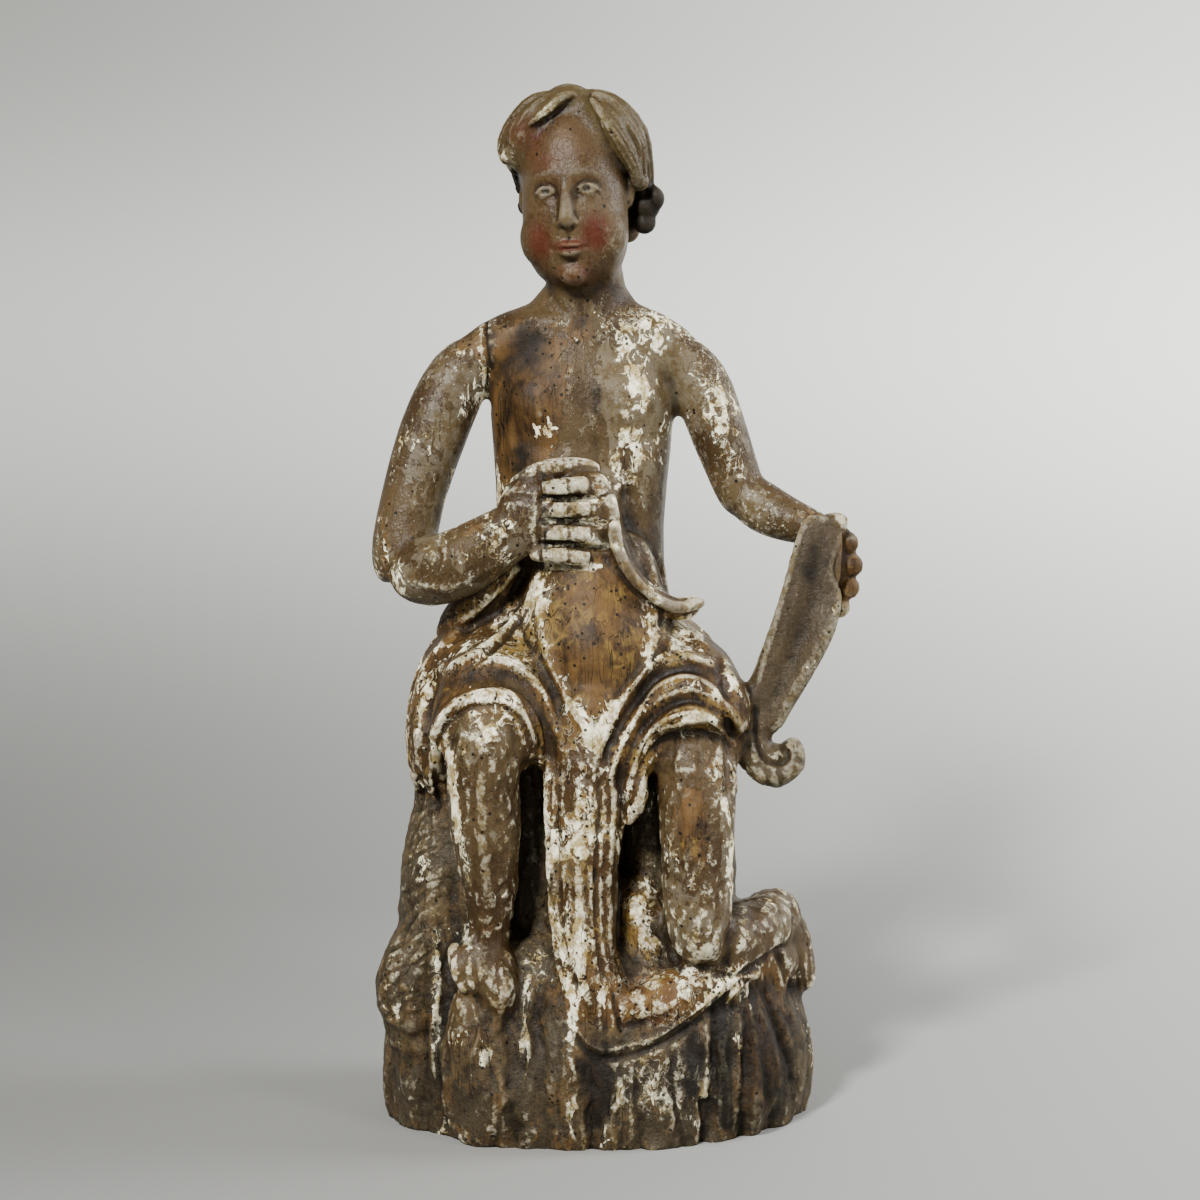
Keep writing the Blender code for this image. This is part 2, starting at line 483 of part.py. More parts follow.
def hair(c):
    """Thick locks swept back from the forehead, and short curls at the nape."""
    c.at(HEAD_CENTRE, HEAD_TURN, HEAD_BOW)
    # viewer's right: one broad lock from the parting down past the temple
    c.form((9, -19, 53, 5), (22, -18, 47, 7), (33, -11, 31, 8.5), (39, -2, 10, 8.5), (37, 8, -8, 7.5), full=0.4)
    c.form((15, -6, 55, 7), (31, -4, 43, 8.5), (40, 3, 22, 9.5), (41, 13, 2, 8.5), (35, 20, -14, 8), full=0.4)
    c.form((8, 8, 57, 8), (27, 12, 48, 9), (37, 20, 28, 10), (37, 26, 6, 9), (31, 29, -16, 8), full=0.4)
    # viewer's left: a wave over the brow, then a curl that stands out above the temple
    c.form((5, -20, 54, 5), (-8, -22, 51, 6.5), (-22, -20, 43, 7.5), (-32, -14, 33, 8), full=0.4)
    c.form((-2, -10, 57, 6.5), (-18, -11, 54, 8.5), (-33, -9, 42, 10), (-41, -7, 28, 10), (-39, -2, 15, 7), full=0.4)
    c.form((-6, 6, 58, 8), (-25, 6, 51, 9), (-37, 10, 32, 10), (-38, 18, 8, 9), (-33, 23, -12, 8), full=0.4)
    # back of the head: locks that fall from the crown to the nape
    for angle in (-64, -40, -14, 12, 38, 62):
        sine, cosine = math.sin(math.radians(angle)), math.cos(math.radians(angle))
        c.form((6 * sine, 14 + 6 * cosine, 55, 8), (27 * sine, 15 + 24 * cosine, 44, 9),
               (36 * sine + 3, 15 + 32 * cosine, 18, 9.5), (35 * sine, 14 + 31 * cosine, -10, 9),
               (28 * sine - 3, 11 + 27 * cosine, -30, 8), full=0.4)
    for x, y, z, size in ((35, 17, -14, 9), (36, 15, -24, 8), (-35, 13, -8, 7), (-34, 12, -19, 7), (27, 27, -32, 8),
                          (-25, 27, -32, 8), (2, 35, -34, 9)):
        c.ball(x, y, z, size, size, size)
    c.at()


def take_up(carving, obj):
    """Puts the object's mesh into the carving as one more shell, and removes the object."""
    points = np.array([v.co for v in obj.data.vertices])
    carving.add(points, [list(p.vertices) for p in obj.data.polygons])
    bpy.data.objects.remove(obj)


def carved():
    """The whole figure, from the roughed-out rock to the features."""
    stone = Carving()
    rock(stone)
    body = stone.body(ROCK_VOXEL)
    surface = Surface(body)
    surface.fillet(4)
    rough_rock(surface)
    surface.store()

    masses = Carving()
    take_up(masses, body)
    for part in (torso, right_arm, left_arm, scroll, right_leg, left_leg, skirt, head):
        part(masses)
    body = masses.body(BLOCK_VOXEL)
    surface = Surface(body)
    surface.fillet(12)
    surface.smooth(1)
    surface.store()

    details = Carving()
    take_up(details, body)
    for part in (right_fingers, left_hand, rolled_hems, features, hair):
        part(details)
    body = details.body(CARVED_VOXEL)
    surface = Surface(body)
    surface.fillet(2)
    surface.smooth(2)
    carved_folds(surface)
    surface.smooth(2)
    surface.store()
    return body


def sawn_flat(mesh):
    """Saws the block off level at its underside and closes the cut."""
    cut = bmesh.ops.bisect_plane(mesh, geom=mesh.verts[:] + mesh.edges[:] + mesh.faces[:], dist=1e-6,
                                 plane_co=(0, 0, 0), plane_no=(0, 0, 1), clear_inner=True)
    rim = [item for item in cut["geom_cut"] if isinstance(item, bmesh.types.BMEdge) and item.is_boundary]
    bmesh.ops.triangle_fill(mesh, edges=rim, use_beauty=True)
    for vert in mesh.verts:
        if abs(vert.co.z) < 1e-4:
            vert.co.z = 0


def largest_piece(mesh):
    """Removes whatever isn't joined to the largest piece."""
    seen = set()
    pieces = []
    for start in mesh.verts:
        if start in seen:
            continue
        piece = {start}
        edge_of_search = [start]
        while edge_of_search:
            vert = edge_of_search.pop()
            for edge in vert.link_edges:
                other = edge.other_vert(vert)
                if other not in piece:
                    piece.add(other)
                    edge_of_search.append(other)
        seen |= piece
        pieces.append(piece)
    keep = max(pieces, key=len)
    bmesh.ops.delete(mesh, geom=[v for v in mesh.verts if v not in keep], context="VERTS")


def finished(obj):
    """Brings the body to its triangle count and its real size, and saws its underside flat."""
    count = sum(len(p.vertices) - 2 for p in obj.data.polygons)
    decimate = obj.modifiers.new("fewer triangles", "DECIMATE")
    decimate.ratio = TRIANGLES / count
    applied(obj)
    mesh = bmesh.new()
    mesh.from_mesh(obj.data)
    largest_piece(mesh)
    sawn_flat(mesh)
    bmesh.ops.triangulate(mesh, faces=mesh.faces)
    crown = max(vert.co.z for vert in mesh.verts)
    bmesh.ops.scale(mesh, vec=(HEIGHT / crown,) * 3, verts=mesh.verts)
    bmesh.ops.recalc_face_normals(mesh, faces=mesh.faces)
    for face in mesh.faces:
        face.smooth = True
    mesh.to_mesh(obj.data)
    mesh.free()


def wood():
    """Dry brown wood under worn paint."""
    material = bpy.data.materials.new("carved_wood")
    material.use_nodes = True
    shader = material.node_tree.nodes["Principled BSDF"]
    shader.inputs["Base Color"].default_value = WOOD_COLOUR
    shader.inputs["Roughness"].default_value = 0.6
    return material


def main():
    for obj in list(bpy.data.objects):
        bpy.data.objects.remove(obj)
    angel = carved()
    finished(angel)
    angel.data.materials.append(wood())


main()
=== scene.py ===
"""The visual model of a carved wooden angel: a youth half kneeling on a rock, one hand on its belly and a
scroll in the other, under old flaking paint. One carved block replaces the CAD solid and keeps its form.

The carving is drawn in millimetres on a figure about 650 tall: X to the viewer's right, Y away, Z up.
"""

import json
import logging
import math
from dataclasses import dataclass, field
from enum import Enum
from typing import ClassVar, Iterable, Optional, Sequence, Union

import bpy
import numpy as np
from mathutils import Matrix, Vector
from mathutils.bvhtree import BVHTree
from mathutils.kdtree import KDTree

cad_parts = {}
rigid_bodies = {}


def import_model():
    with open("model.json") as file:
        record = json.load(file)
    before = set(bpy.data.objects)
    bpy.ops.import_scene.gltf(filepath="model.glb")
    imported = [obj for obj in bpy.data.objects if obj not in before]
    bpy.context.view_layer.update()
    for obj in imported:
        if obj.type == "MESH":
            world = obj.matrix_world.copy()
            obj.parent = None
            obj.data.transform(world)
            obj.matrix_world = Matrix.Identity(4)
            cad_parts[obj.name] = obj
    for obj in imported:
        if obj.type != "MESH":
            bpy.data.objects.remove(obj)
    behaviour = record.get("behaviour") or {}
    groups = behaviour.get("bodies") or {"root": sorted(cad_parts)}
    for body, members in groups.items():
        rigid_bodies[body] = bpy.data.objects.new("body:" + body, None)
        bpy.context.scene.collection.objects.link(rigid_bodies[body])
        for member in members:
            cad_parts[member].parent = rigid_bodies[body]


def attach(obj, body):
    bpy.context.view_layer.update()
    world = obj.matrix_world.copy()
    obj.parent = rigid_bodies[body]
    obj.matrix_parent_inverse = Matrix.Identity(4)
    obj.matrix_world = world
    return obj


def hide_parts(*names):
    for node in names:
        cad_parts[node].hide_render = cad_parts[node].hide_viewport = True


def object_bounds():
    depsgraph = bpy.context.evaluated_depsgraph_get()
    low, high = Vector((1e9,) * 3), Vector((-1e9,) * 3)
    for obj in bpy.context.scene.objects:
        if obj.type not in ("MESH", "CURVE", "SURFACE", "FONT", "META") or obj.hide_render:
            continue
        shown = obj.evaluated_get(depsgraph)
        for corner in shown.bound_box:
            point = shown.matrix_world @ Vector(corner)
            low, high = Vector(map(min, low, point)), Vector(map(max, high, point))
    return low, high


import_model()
cad_low, cad_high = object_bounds()

log = logging.getLogger("angel")

NODE = "carved_angel"
ROCK_VOXEL = 3.2  # grain of the surface while the rock is roughed out, in mm
BLOCK_VOXEL = 2.8  # while the figure's masses are joined to it
FINE_VOXEL = 1.25  # while folds and features are carved
FINE_ROUNDS, BROAD_ROUNDS = ((9, 120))  # of smoothing, to find the hollows
WIDE_ROUNDS = 90  # of the coarser surface, to find the large hollows
FINE_DEPTH, BROAD_DEPTH, WIDE_DEPTH = 0.35, 3.0, 9.0  # of a full hollow of each kind, in mm
MOST_TRIANGLES = 196_000
MILLIMETRE = 0.001
FINISHED_SCALE = 1.00526  # of the finished figure against the drawn millimetres
MARGIN = 1e-4  # kept between the carving and the sides of the CAD box, in metres
SLIVER = 0.05  # points closer than this, in mm, are made one after the decimation

RINGS = 18  # of the ball that each form is drawn out of
SEGMENTS = 20
FRONT = (0.0, -1.0, 0.0)
LEAST_FACING = 0.05  # a chisel leaves alone what is turned further from the viewer than this

Row = Sequence[float]
Array = np.ndarray


class Zone(Enum):
    """What the carver made of a stretch of surface, which decides how it was painted."""

    ROCK = 0
    SKIN = 1
    CLOTH = 2
    SCROLL = 3
    HAIR = 4
    FACE = 5


class Layer(Enum):
    """A coat on the wood whose amount is held for every point."""

    FLESH = 0  # greyish brown overpaint
    GROUND = 1  # white to cream chalk ground
    OCHRE = 2  # yellow wash on the cloth
    RED = 3  # blush
    DARK = 4  # soot, black paint and stains, and painted shade in the hollows
    GREY = 5  # weathered bare wood


def along(stations: Sequence[Row], share: Array) -> Array:
    """Rows of a smooth curve through stations.

    Args:
        stations: rows of equal length that the curve passes through.
        share: places along it, from 0 to 1.

    Returns:
        One row for each share.
    """
    rows = np.asarray(stations, float)
    ends = np.vstack([2 * rows[0] - rows[1], rows, 2 * rows[-1] - rows[-2]])
    place = np.clip(share, 0, 1) * (len(rows) - 1)
    index = np.minimum(place.astype(int), len(rows) - 2)
    t = (place - index)[:, None]
    a, b, c, d = (ends[index + k] for k in range(4))
    return 0.5 * (2 * b + (c - a) * t + (2 * a - 5 * b + 4 * c - d) * t**2 + (3 * b - a - 3 * c + d) * t**3)


def swell_noise(points: Array, seed: int = 0) -> Array:
    """A smooth random value from -1 to 1 at each point, about one swell to a unit.

    Args:
        points: places, as rows of three.
        seed: chooses another pattern.

    Returns:
        One value for each point.
    """
    cell = np.floor(points)
    part = points - cell
    part = part * part * (3 - 2 * part)
    total = np.zeros(len(points))
    for corner in np.ndindex(2, 2, 2):
        key = (cell + corner) @ (12.9898, 78.233, 37.719) + seed * 4.898
        value = np.modf(np.abs(np.sin(key) * 43758.5453))[0]
        total += value * np.where(corner, part, 1 - part).prod(axis=1)
    return 2 * total - 1


def turned(turn: float, bow: float, lean: float) -> Array:
    """The matrix of a bow forwards, then a turn about Z, then a lean to one side.

    Args:
        turn: angle about Z in radians.
        bow: angle about X in radians.
        lean: angle about Y in radians.

    Returns:
        A 3 by 3 matrix.
    """
    cos_t, sin_t, cos_b, sin_b = math.cos(turn), math.sin(turn), math.cos(bow), math.sin(bow)
    about_z = np.array([(cos_t, -sin_t, 0), (sin_t, cos_t, 0), (0, 0, 1)])
    about_x = np.array([(1, 0, 0), (0, cos_b, -sin_b), (0, sin_b, cos_b)])
    about_y = np.array([(math.cos(lean), 0, math.sin(lean)), (0, 1, 0), (-math.sin(lean), 0, math.cos(lean))])
    return about_y @ about_z @ about_x


def deselect_all() -> None:
    """Deselects every object, because an operator acts on all that is selected."""
    bpy.ops.object.select_all(action="DESELECT")


def select_only(obj: bpy.types.Object) -> None:
    """Selects one object alone and makes it active."""
    deselect_all()
    obj.select_set(True)
    bpy.context.view_layer.objects.active = obj


def apply_modifier(obj: bpy.types.Object, kind: str, **settings: Union[float, str, bool]) -> None:
    """Adds a modifier to an object and applies it at once.

    Args:
        obj: the object to change.
        kind: the modifier's type.
        settings: its settings by name.
    """
    select_only(obj)
    modifier = obj.modifiers.new(kind.lower(), kind)
    for name, value in settings.items():
        setattr(modifier, name, value)
    bpy.ops.object.modifier_apply(modifier=modifier.name)


@dataclass(frozen=True)
class Frame:
    """A frame to draw in: a centre, a turn about Z, a bow forwards and a lean to one side."""

    centre: Row = (0.0, 0.0, 0.0)
    turn: float = 0.0
    bow: float = 0.0
    lean: float = 0.0

    def matrix(self) -> Array:
        """The frame's axes as the columns of a matrix."""
        return turned(self.turn, self.bow, self.lean)

    def outward(self, points: Array) -> Array:
        """Takes points from this frame to the figure's."""
        return points @ self.matrix().T + np.asarray(self.centre)

    def inward(self, points: Array) -> Array:
        """Takes points from the figure's frame to this one."""
        return (points - np.asarray(self.centre)) @ self.matrix()


WHOLE = Frame()
BACK = Frame(turn=math.pi)
HEAD = Frame((-13.0, -6.0, 584.0), math.radians(-10), math.radians(4), math.radians(-3.5))


def tube(stations: Sequence[Row], share: Array, front: Row = FRONT) -> tuple[Array, Array, Array]:
    """The axis of a rounded form and the directions across it.

    Args:
        stations: rows of x, y, z, half width and half depth; the depth may be left out where it's the same.
        share: places along it, from 0 to 1.
        front: the direction that the half depth is measured in.

    Returns:
        Rows like the stations, and the unit vectors of its width and of its depth.
    """
    rows = [tuple(s) if len(s) == 5 else (*s, s[3]) for s in stations]
    line = along(rows, share)
    step = along(rows, share + 0.01)[:, :3] - along(rows, share - 0.01)[:, :3]
    tangent = step / np.linalg.norm(step, axis=1)[:, None]
    deep = np.asarray(front, float) - tangent * (tangent @ np.asarray(front, float))[:, None]
    weak = np.linalg.norm(deep, axis=1) < 0.25
    deep[weak] = np.array([0, 0, 1.0]) - tangent[weak] * tangent[weak][:, 2:3]
    deep /= np.linalg.norm(deep, axis=1)[:, None]
    return line, np.cross(deep, tangent), deep


def line_on(stations: Sequence[Row], angle: float, view: Frame = WHOLE, start: float = 0.04,
            end: float = 0.96) -> Array:
    """A line that runs along the outside of a rounded form.

    Args:
        stations: the form's rows.
        angle: which side of it: 0 for its front, 90 degrees for the side that its width points to.
        view: the frame that the stations are in.
        start: the share of the form where the line begins.
        end: the share where it ends.

    Returns:
        Points in the figure's frame.
    """
    share = np.linspace(start, end, 10 * len(stations))
    line, wide, deep = tube(stations, share)
    turn = math.radians(angle)
    out = wide * (line[:, 3:4] * math.sin(turn)) + deep * (line[:, 4:5] * math.cos(turn))
    return view.outward(line[:, :3] + 0.95 * out)


class Carving:
    """Overlapping rounded forms, which a voxel remesh makes one body."""

    ball_points: ClassVar[Optional[Array]] = None
    ball_faces: ClassVar[list[list[int]]] = []

    def __init__(self) -> None:
        """Starts with no forms, in the figure's own frame."""
        if Carving.ball_points is None:
            Carving.ball_points, Carving.ball_faces = self.ball_template()
        self.points: list[Array] = []
        self.faces: list[list[int]] = []
        self.zones: list[int] = []
        self.count = 0
        self.frame = WHOLE
        self.zone = Zone.ROCK

    @staticmethod
    def ball_template() -> tuple[Array, list[list[int]]]:
        """Points and faces of the ball that every form is drawn out of."""
        deselect_all()
        bpy.ops.mesh.primitive_uv_sphere_add(segments=SEGMENTS, ring_count=RINGS, radius=1)
        ball = bpy.context.object
        points = np.array([vertex.co for vertex in ball.data.vertices])
        faces = [list(polygon.vertices) for polygon in ball.data.polygons]
        mesh = ball.data
        bpy.data.objects.remove(ball)
        bpy.data.meshes.remove(mesh)
        return points, faces

    def add(self, points: Array, faces: list[list[int]]) -> None:
        """Adds a shell of its own to the carving.

        Args:
            points: its vertices.
            faces: its faces, counted from 0.
        """
        self.points.append(points)
        self.faces.extend([[i + self.count for i in face] for face in faces])
        self.zones.extend([self.zone.value] * len(faces))
        self.count += len(points)

    def form(self, *stations: Row, full: float = 0.5, front: Row = FRONT) -> None:
        """Adds a rounded form: a ball drawn out along a curve.

        Args:
            stations: rows of x, y, z, half width and half depth; the depth may be left out where
                it's the same.
            full: 1 for an ellipsoid, and less for blunter ends.
            front: the direction that the half depth is measured in.
        """
        ball = Carving.ball_points
        turn = np.arctan2(ball[:, 1], ball[:, 0])
        swell = np.sqrt((1 - ball[:, 2] ** 2).clip(0, 1)) ** full
        line, wide, deep = tube(stations, (1 + ball[:, 2]) / 2, front)
        across = (line[:, 3] * swell * np.cos(turn))[:, None] * wide
        through = (line[:, 4] * swell * np.sin(turn))[:, None] * deep
        self.add(self.frame.outward(line[:, :3] + across - through), Carving.ball_faces)

    def ball(self, x: float, y: float, z: float, wide: float, deep: float = 0.0, tall: float = 0.0) -> None:
        """Adds an ellipsoid.

        Args:
            x: its centre, with y and z.
            y: see x.
            z: see x.
            wide: half its width.
            deep: half its depth, or 0 for the same.
            tall: half its height, or 0 for the same.
        """
        deep, tall = deep or wide, tall or wide
        self.form((x, y, z - tall, wide, deep), (x, y, z + tall, wide, deep), full=1)

    def take_up(self, obj: bpy.types.Object) -> None:
        """Puts an object's mesh into the carving as one more shell, and removes the object."""
        points = np.array([vertex.co for vertex in obj.data.vertices])
        self.add(points, [list(polygon.vertices) for polygon in obj.data.polygons])
        mesh = obj.data
        bpy.data.objects.remove(obj)
        bpy.data.meshes.remove(mesh)

    def body(self, voxel: float) -> bpy.types.Object:
        """Joins the forms.

        Args:
            voxel: the grain of the new surface in mm.

        Returns:
            One closed mesh object, in millimetres.
        """
        mesh = bpy.data.meshes.new(NODE)
        mesh.from_pydata(np.vstack(self.points), [], self.faces)
        obj = bpy.data.objects.new(NODE, mesh)
        bpy.context.scene.collection.objects.link(obj)
        apply_modifier(obj, "REMESH", mode="VOXEL", voxel_size=voxel)
        return obj


def distance_to(route: Array, points: Array) -> tuple[Array, Array]:
    """Distances from points to a polyline in a plane.

    Args:
        route: the polyline's points.
        points: the places to measure from.

    Returns:
        Each point's distance, and the share of the route's length at the nearest place.
    """
    best, place = np.full(len(points), np.inf), np.zeros(len(points))
    for index, (a, b) in enumerate(zip(route, route[1:])):
        leg = b - a
        t = ((points - a) @ leg / max(leg @ leg, 1e-9)).clip(0, 1)
        gap = np.linalg.norm(points - a - t[:, None] * leg, axis=1)
        closer = gap < best
        best[closer] = gap[closer]
        place[closer] = (index + t[closer]) / (len(route) - 1)
    return best, place


class Surface:
    """The points and edges of a body, for smoothing and chiselling."""

    def __init__(self, obj: bpy.types.Object) -> None:
        """Reads the object's mesh."""
        self.mesh = obj.data
        self.count = len(self.mesh.vertices)
        edges = np.empty(len(self.mesh.edges) * 2, np.int32)
        self.mesh.edges.foreach_get("vertices", edges)
        self.first, self.second = edges.reshape(-1, 2).T
        self.degree = np.bincount(edges, minlength=self.count).clip(1)
        points = np.empty(self.count * 3, np.float32)
        self.mesh.vertices.foreach_get("co", points)
        self.points = points.reshape(-1, 3).astype(float)
        self.refresh()

    def store(self) -> None:
        """Writes the points back to the mesh."""
        self.mesh.vertices.foreach_set("co", self.points.astype(np.float32).ravel())
        self.mesh.update()

    def refresh(self) -> None:
        """Brings the normals up to date with the points."""
        self.store()
        found = np.empty(self.count * 3, np.float32)
        self.mesh.vertex_normals.foreach_get("vector", found)
        self.normals = found.reshape(-1, 3).astype(float)

    def mean_of_neighbours(self, values: Array) -> Array:
        """The mean over each point's neighbours of values given for every point."""
        columns = values.reshape(self.count, -1)
        mean = np.empty_like(columns)
        for axis in range(columns.shape[1]):
            value = columns[:, axis]
            mean[:, axis] = np.bincount(self.first, value[self.second], self.count)
            mean[:, axis] += np.bincount(self.second, value[self.first], self.count)
        return (mean / self.degree[:, None]).reshape(values.shape)

    def pull(self) -> Array:
        """From each point to the mean of its neighbours."""
        return self.mean_of_neighbours(self.points) - self.points

    def fillet(self, rounds: int) -> None:
        """Fills the sharp valleys where forms meet, and leaves what stands out.

        Args:
            rounds: how many times it is done.
        """
        for _ in range(rounds):
            self.refresh()
            pull = self.pull()
            hollow = (pull * self.normals).sum(axis=1) > 0
            self.points += 0.6 * pull * hollow[:, None]

    def smooth(self, rounds: int) -> None:
        """Softens everything a little, with a push back against shrinking.

        Args:
            rounds: how many times it is done.
        """
        for _ in range(rounds):
            self.points += 0.5 * self.pull()
            self.points -= 0.45 * self.pull()

    def hollowness(self, rounds: int) -> Array:
        """How far each point lies below (above 0) or above its surroundings, in mm.

        Args:
            rounds: how far the surroundings reach, as a number of smoothing rounds.

        Returns:
            One value for each point.
        """
        mean = self.points
        for _ in range(rounds):
            mean = 0.5 * (mean + self.mean_of_neighbours(mean))
        return ((mean - self.points) * self.normals).sum(axis=1)

    def seen_from(self, view: Frame) -> tuple[Array, Array]:
        """The points in a view's frame, and how squarely each one faces the viewer there."""
        return view.inward(self.points), -(self.normals @ view.matrix())[:, 1]

    def stroke(self, line: Sequence[Row], width: float, lift: float, reach: float = 200.0,
               view: Frame = WHOLE, fade: float = 0.4, sharp: float = 2.0) -> None:
        """Raises or cuts the surface beside a line drawn on what faces the viewer.

        Args:
            line: its (x, z) points in the view's frame.
            width: how far it reaches to each side, in mm.
            lift: the height of the ridge, or below 0 the depth of the groove.
            reach: the deepest y that it touches.
            view: the frame that it is drawn in.
            fade: how gently its ends run out; 0 ends it bluntly.
            sharp: above 2 for a narrow crest.
        """
        seen, facing = self.seen_from(view)
        route = along(line, np.linspace(0, 1, 8 * len(line)))
        low, high = route.min(axis=0) - width, route.max(axis=0) + width
        flat = seen[:, [0, 2]]
        boxed = ((flat > low) & (flat < high)).all(axis=1)
        near = np.flatnonzero(boxed & (seen[:, 1] < reach) & (facing > LEAST_FACING))
        gap, place = distance_to(route, flat[near])
        profile = (1 - (gap / width).clip(0, 1) ** 2) ** sharp
        ends = np.sin(math.pi * (0.04 + 0.92 * place)) ** fade
        amount = lift * profile * ends * (facing[near] * 2.5).clip(0, 1)
        self.points[near] += self.normals[near] * amount[:, None]

    def strokes(self, rows: Sequence[Sequence], reach: float = 200.0, view: Frame = WHOLE) -> None:
        """Makes strokes that are alike in reach and view, in the order given.

        Args:
            rows: each a line, a width and a lift, then how sharp it is where that isn't 2.
            reach: the deepest y that they touch.
            view: the frame that they are drawn in.
        """
        for line, width, lift, *sharp in rows:
            self.stroke(line, width, lift, reach, view, 0.4, *sharp)

    def follow(self, route: Array, width: float, lift: float, fade: float = 0.5) -> None:
        """Raises or cuts the surface along a line in space that lies on it or near it.

        Args:
            route: the line's points.
            width: how far it reaches to each side, in mm.
            lift: the height of the ridge, or below 0 the depth of the groove.
            fade: how gently its ends run out.
        """
        low, high = route.min(axis=0) - width, route.max(axis=0) + width
        near = np.flatnonzero(((self.points > low) & (self.points < high)).all(axis=1))
        gap, place = distance_to(route, self.points[near])
        profile = (1 - (gap / width).clip(0, 1) ** 2) ** 2
        amount = lift * profile * np.sin(math.pi * (0.03 + 0.94 * place)) ** fade
        self.points[near] += self.normals[near] * amount[:, None]

    def dab(self, x: float, z: float, wide: float, tall: float, lift: float, reach: float = 200.0,
            view: Frame = WHOLE) -> None:
        """Raises or presses in a soft oval on what faces the viewer.

        Args:
            x: its centre, with z, in the view's frame.
            z: see x.
            wide: half its width in mm.
            tall: half its height in mm.
            lift: its height, or below 0 its depth.
            reach: the deepest y that it touches.
            view: the frame that it is drawn in.
        """
        seen, facing = self.seen_from(view)
        away = ((seen[:, 0] - x) / wide) ** 2 + ((seen[:, 2] - z) / tall) ** 2
        near = np.flatnonzero((away < 4) & (seen[:, 1] < reach) & (facing > LEAST_FACING))
        amount = lift * np.exp(-1.6 * away[near]) * (facing[near] * 2.5).clip(0, 1)
        self.points[near] += self.normals[near] * amount[:, None]


class Part:
    """A sub-assembly of the figure: its masses, its finer forms and its chiselling."""

    zone: ClassVar[Zone] = Zone.SKIN

    def block(self, carving: Carving) -> None:
        """Adds the masses to the carving."""

    def detail(self, carving: Carving) -> None:
        """Adds the finer forms to the carving."""

    def chisel(self, surface: Surface) -> None:
        """Cuts and raises the joined surface."""


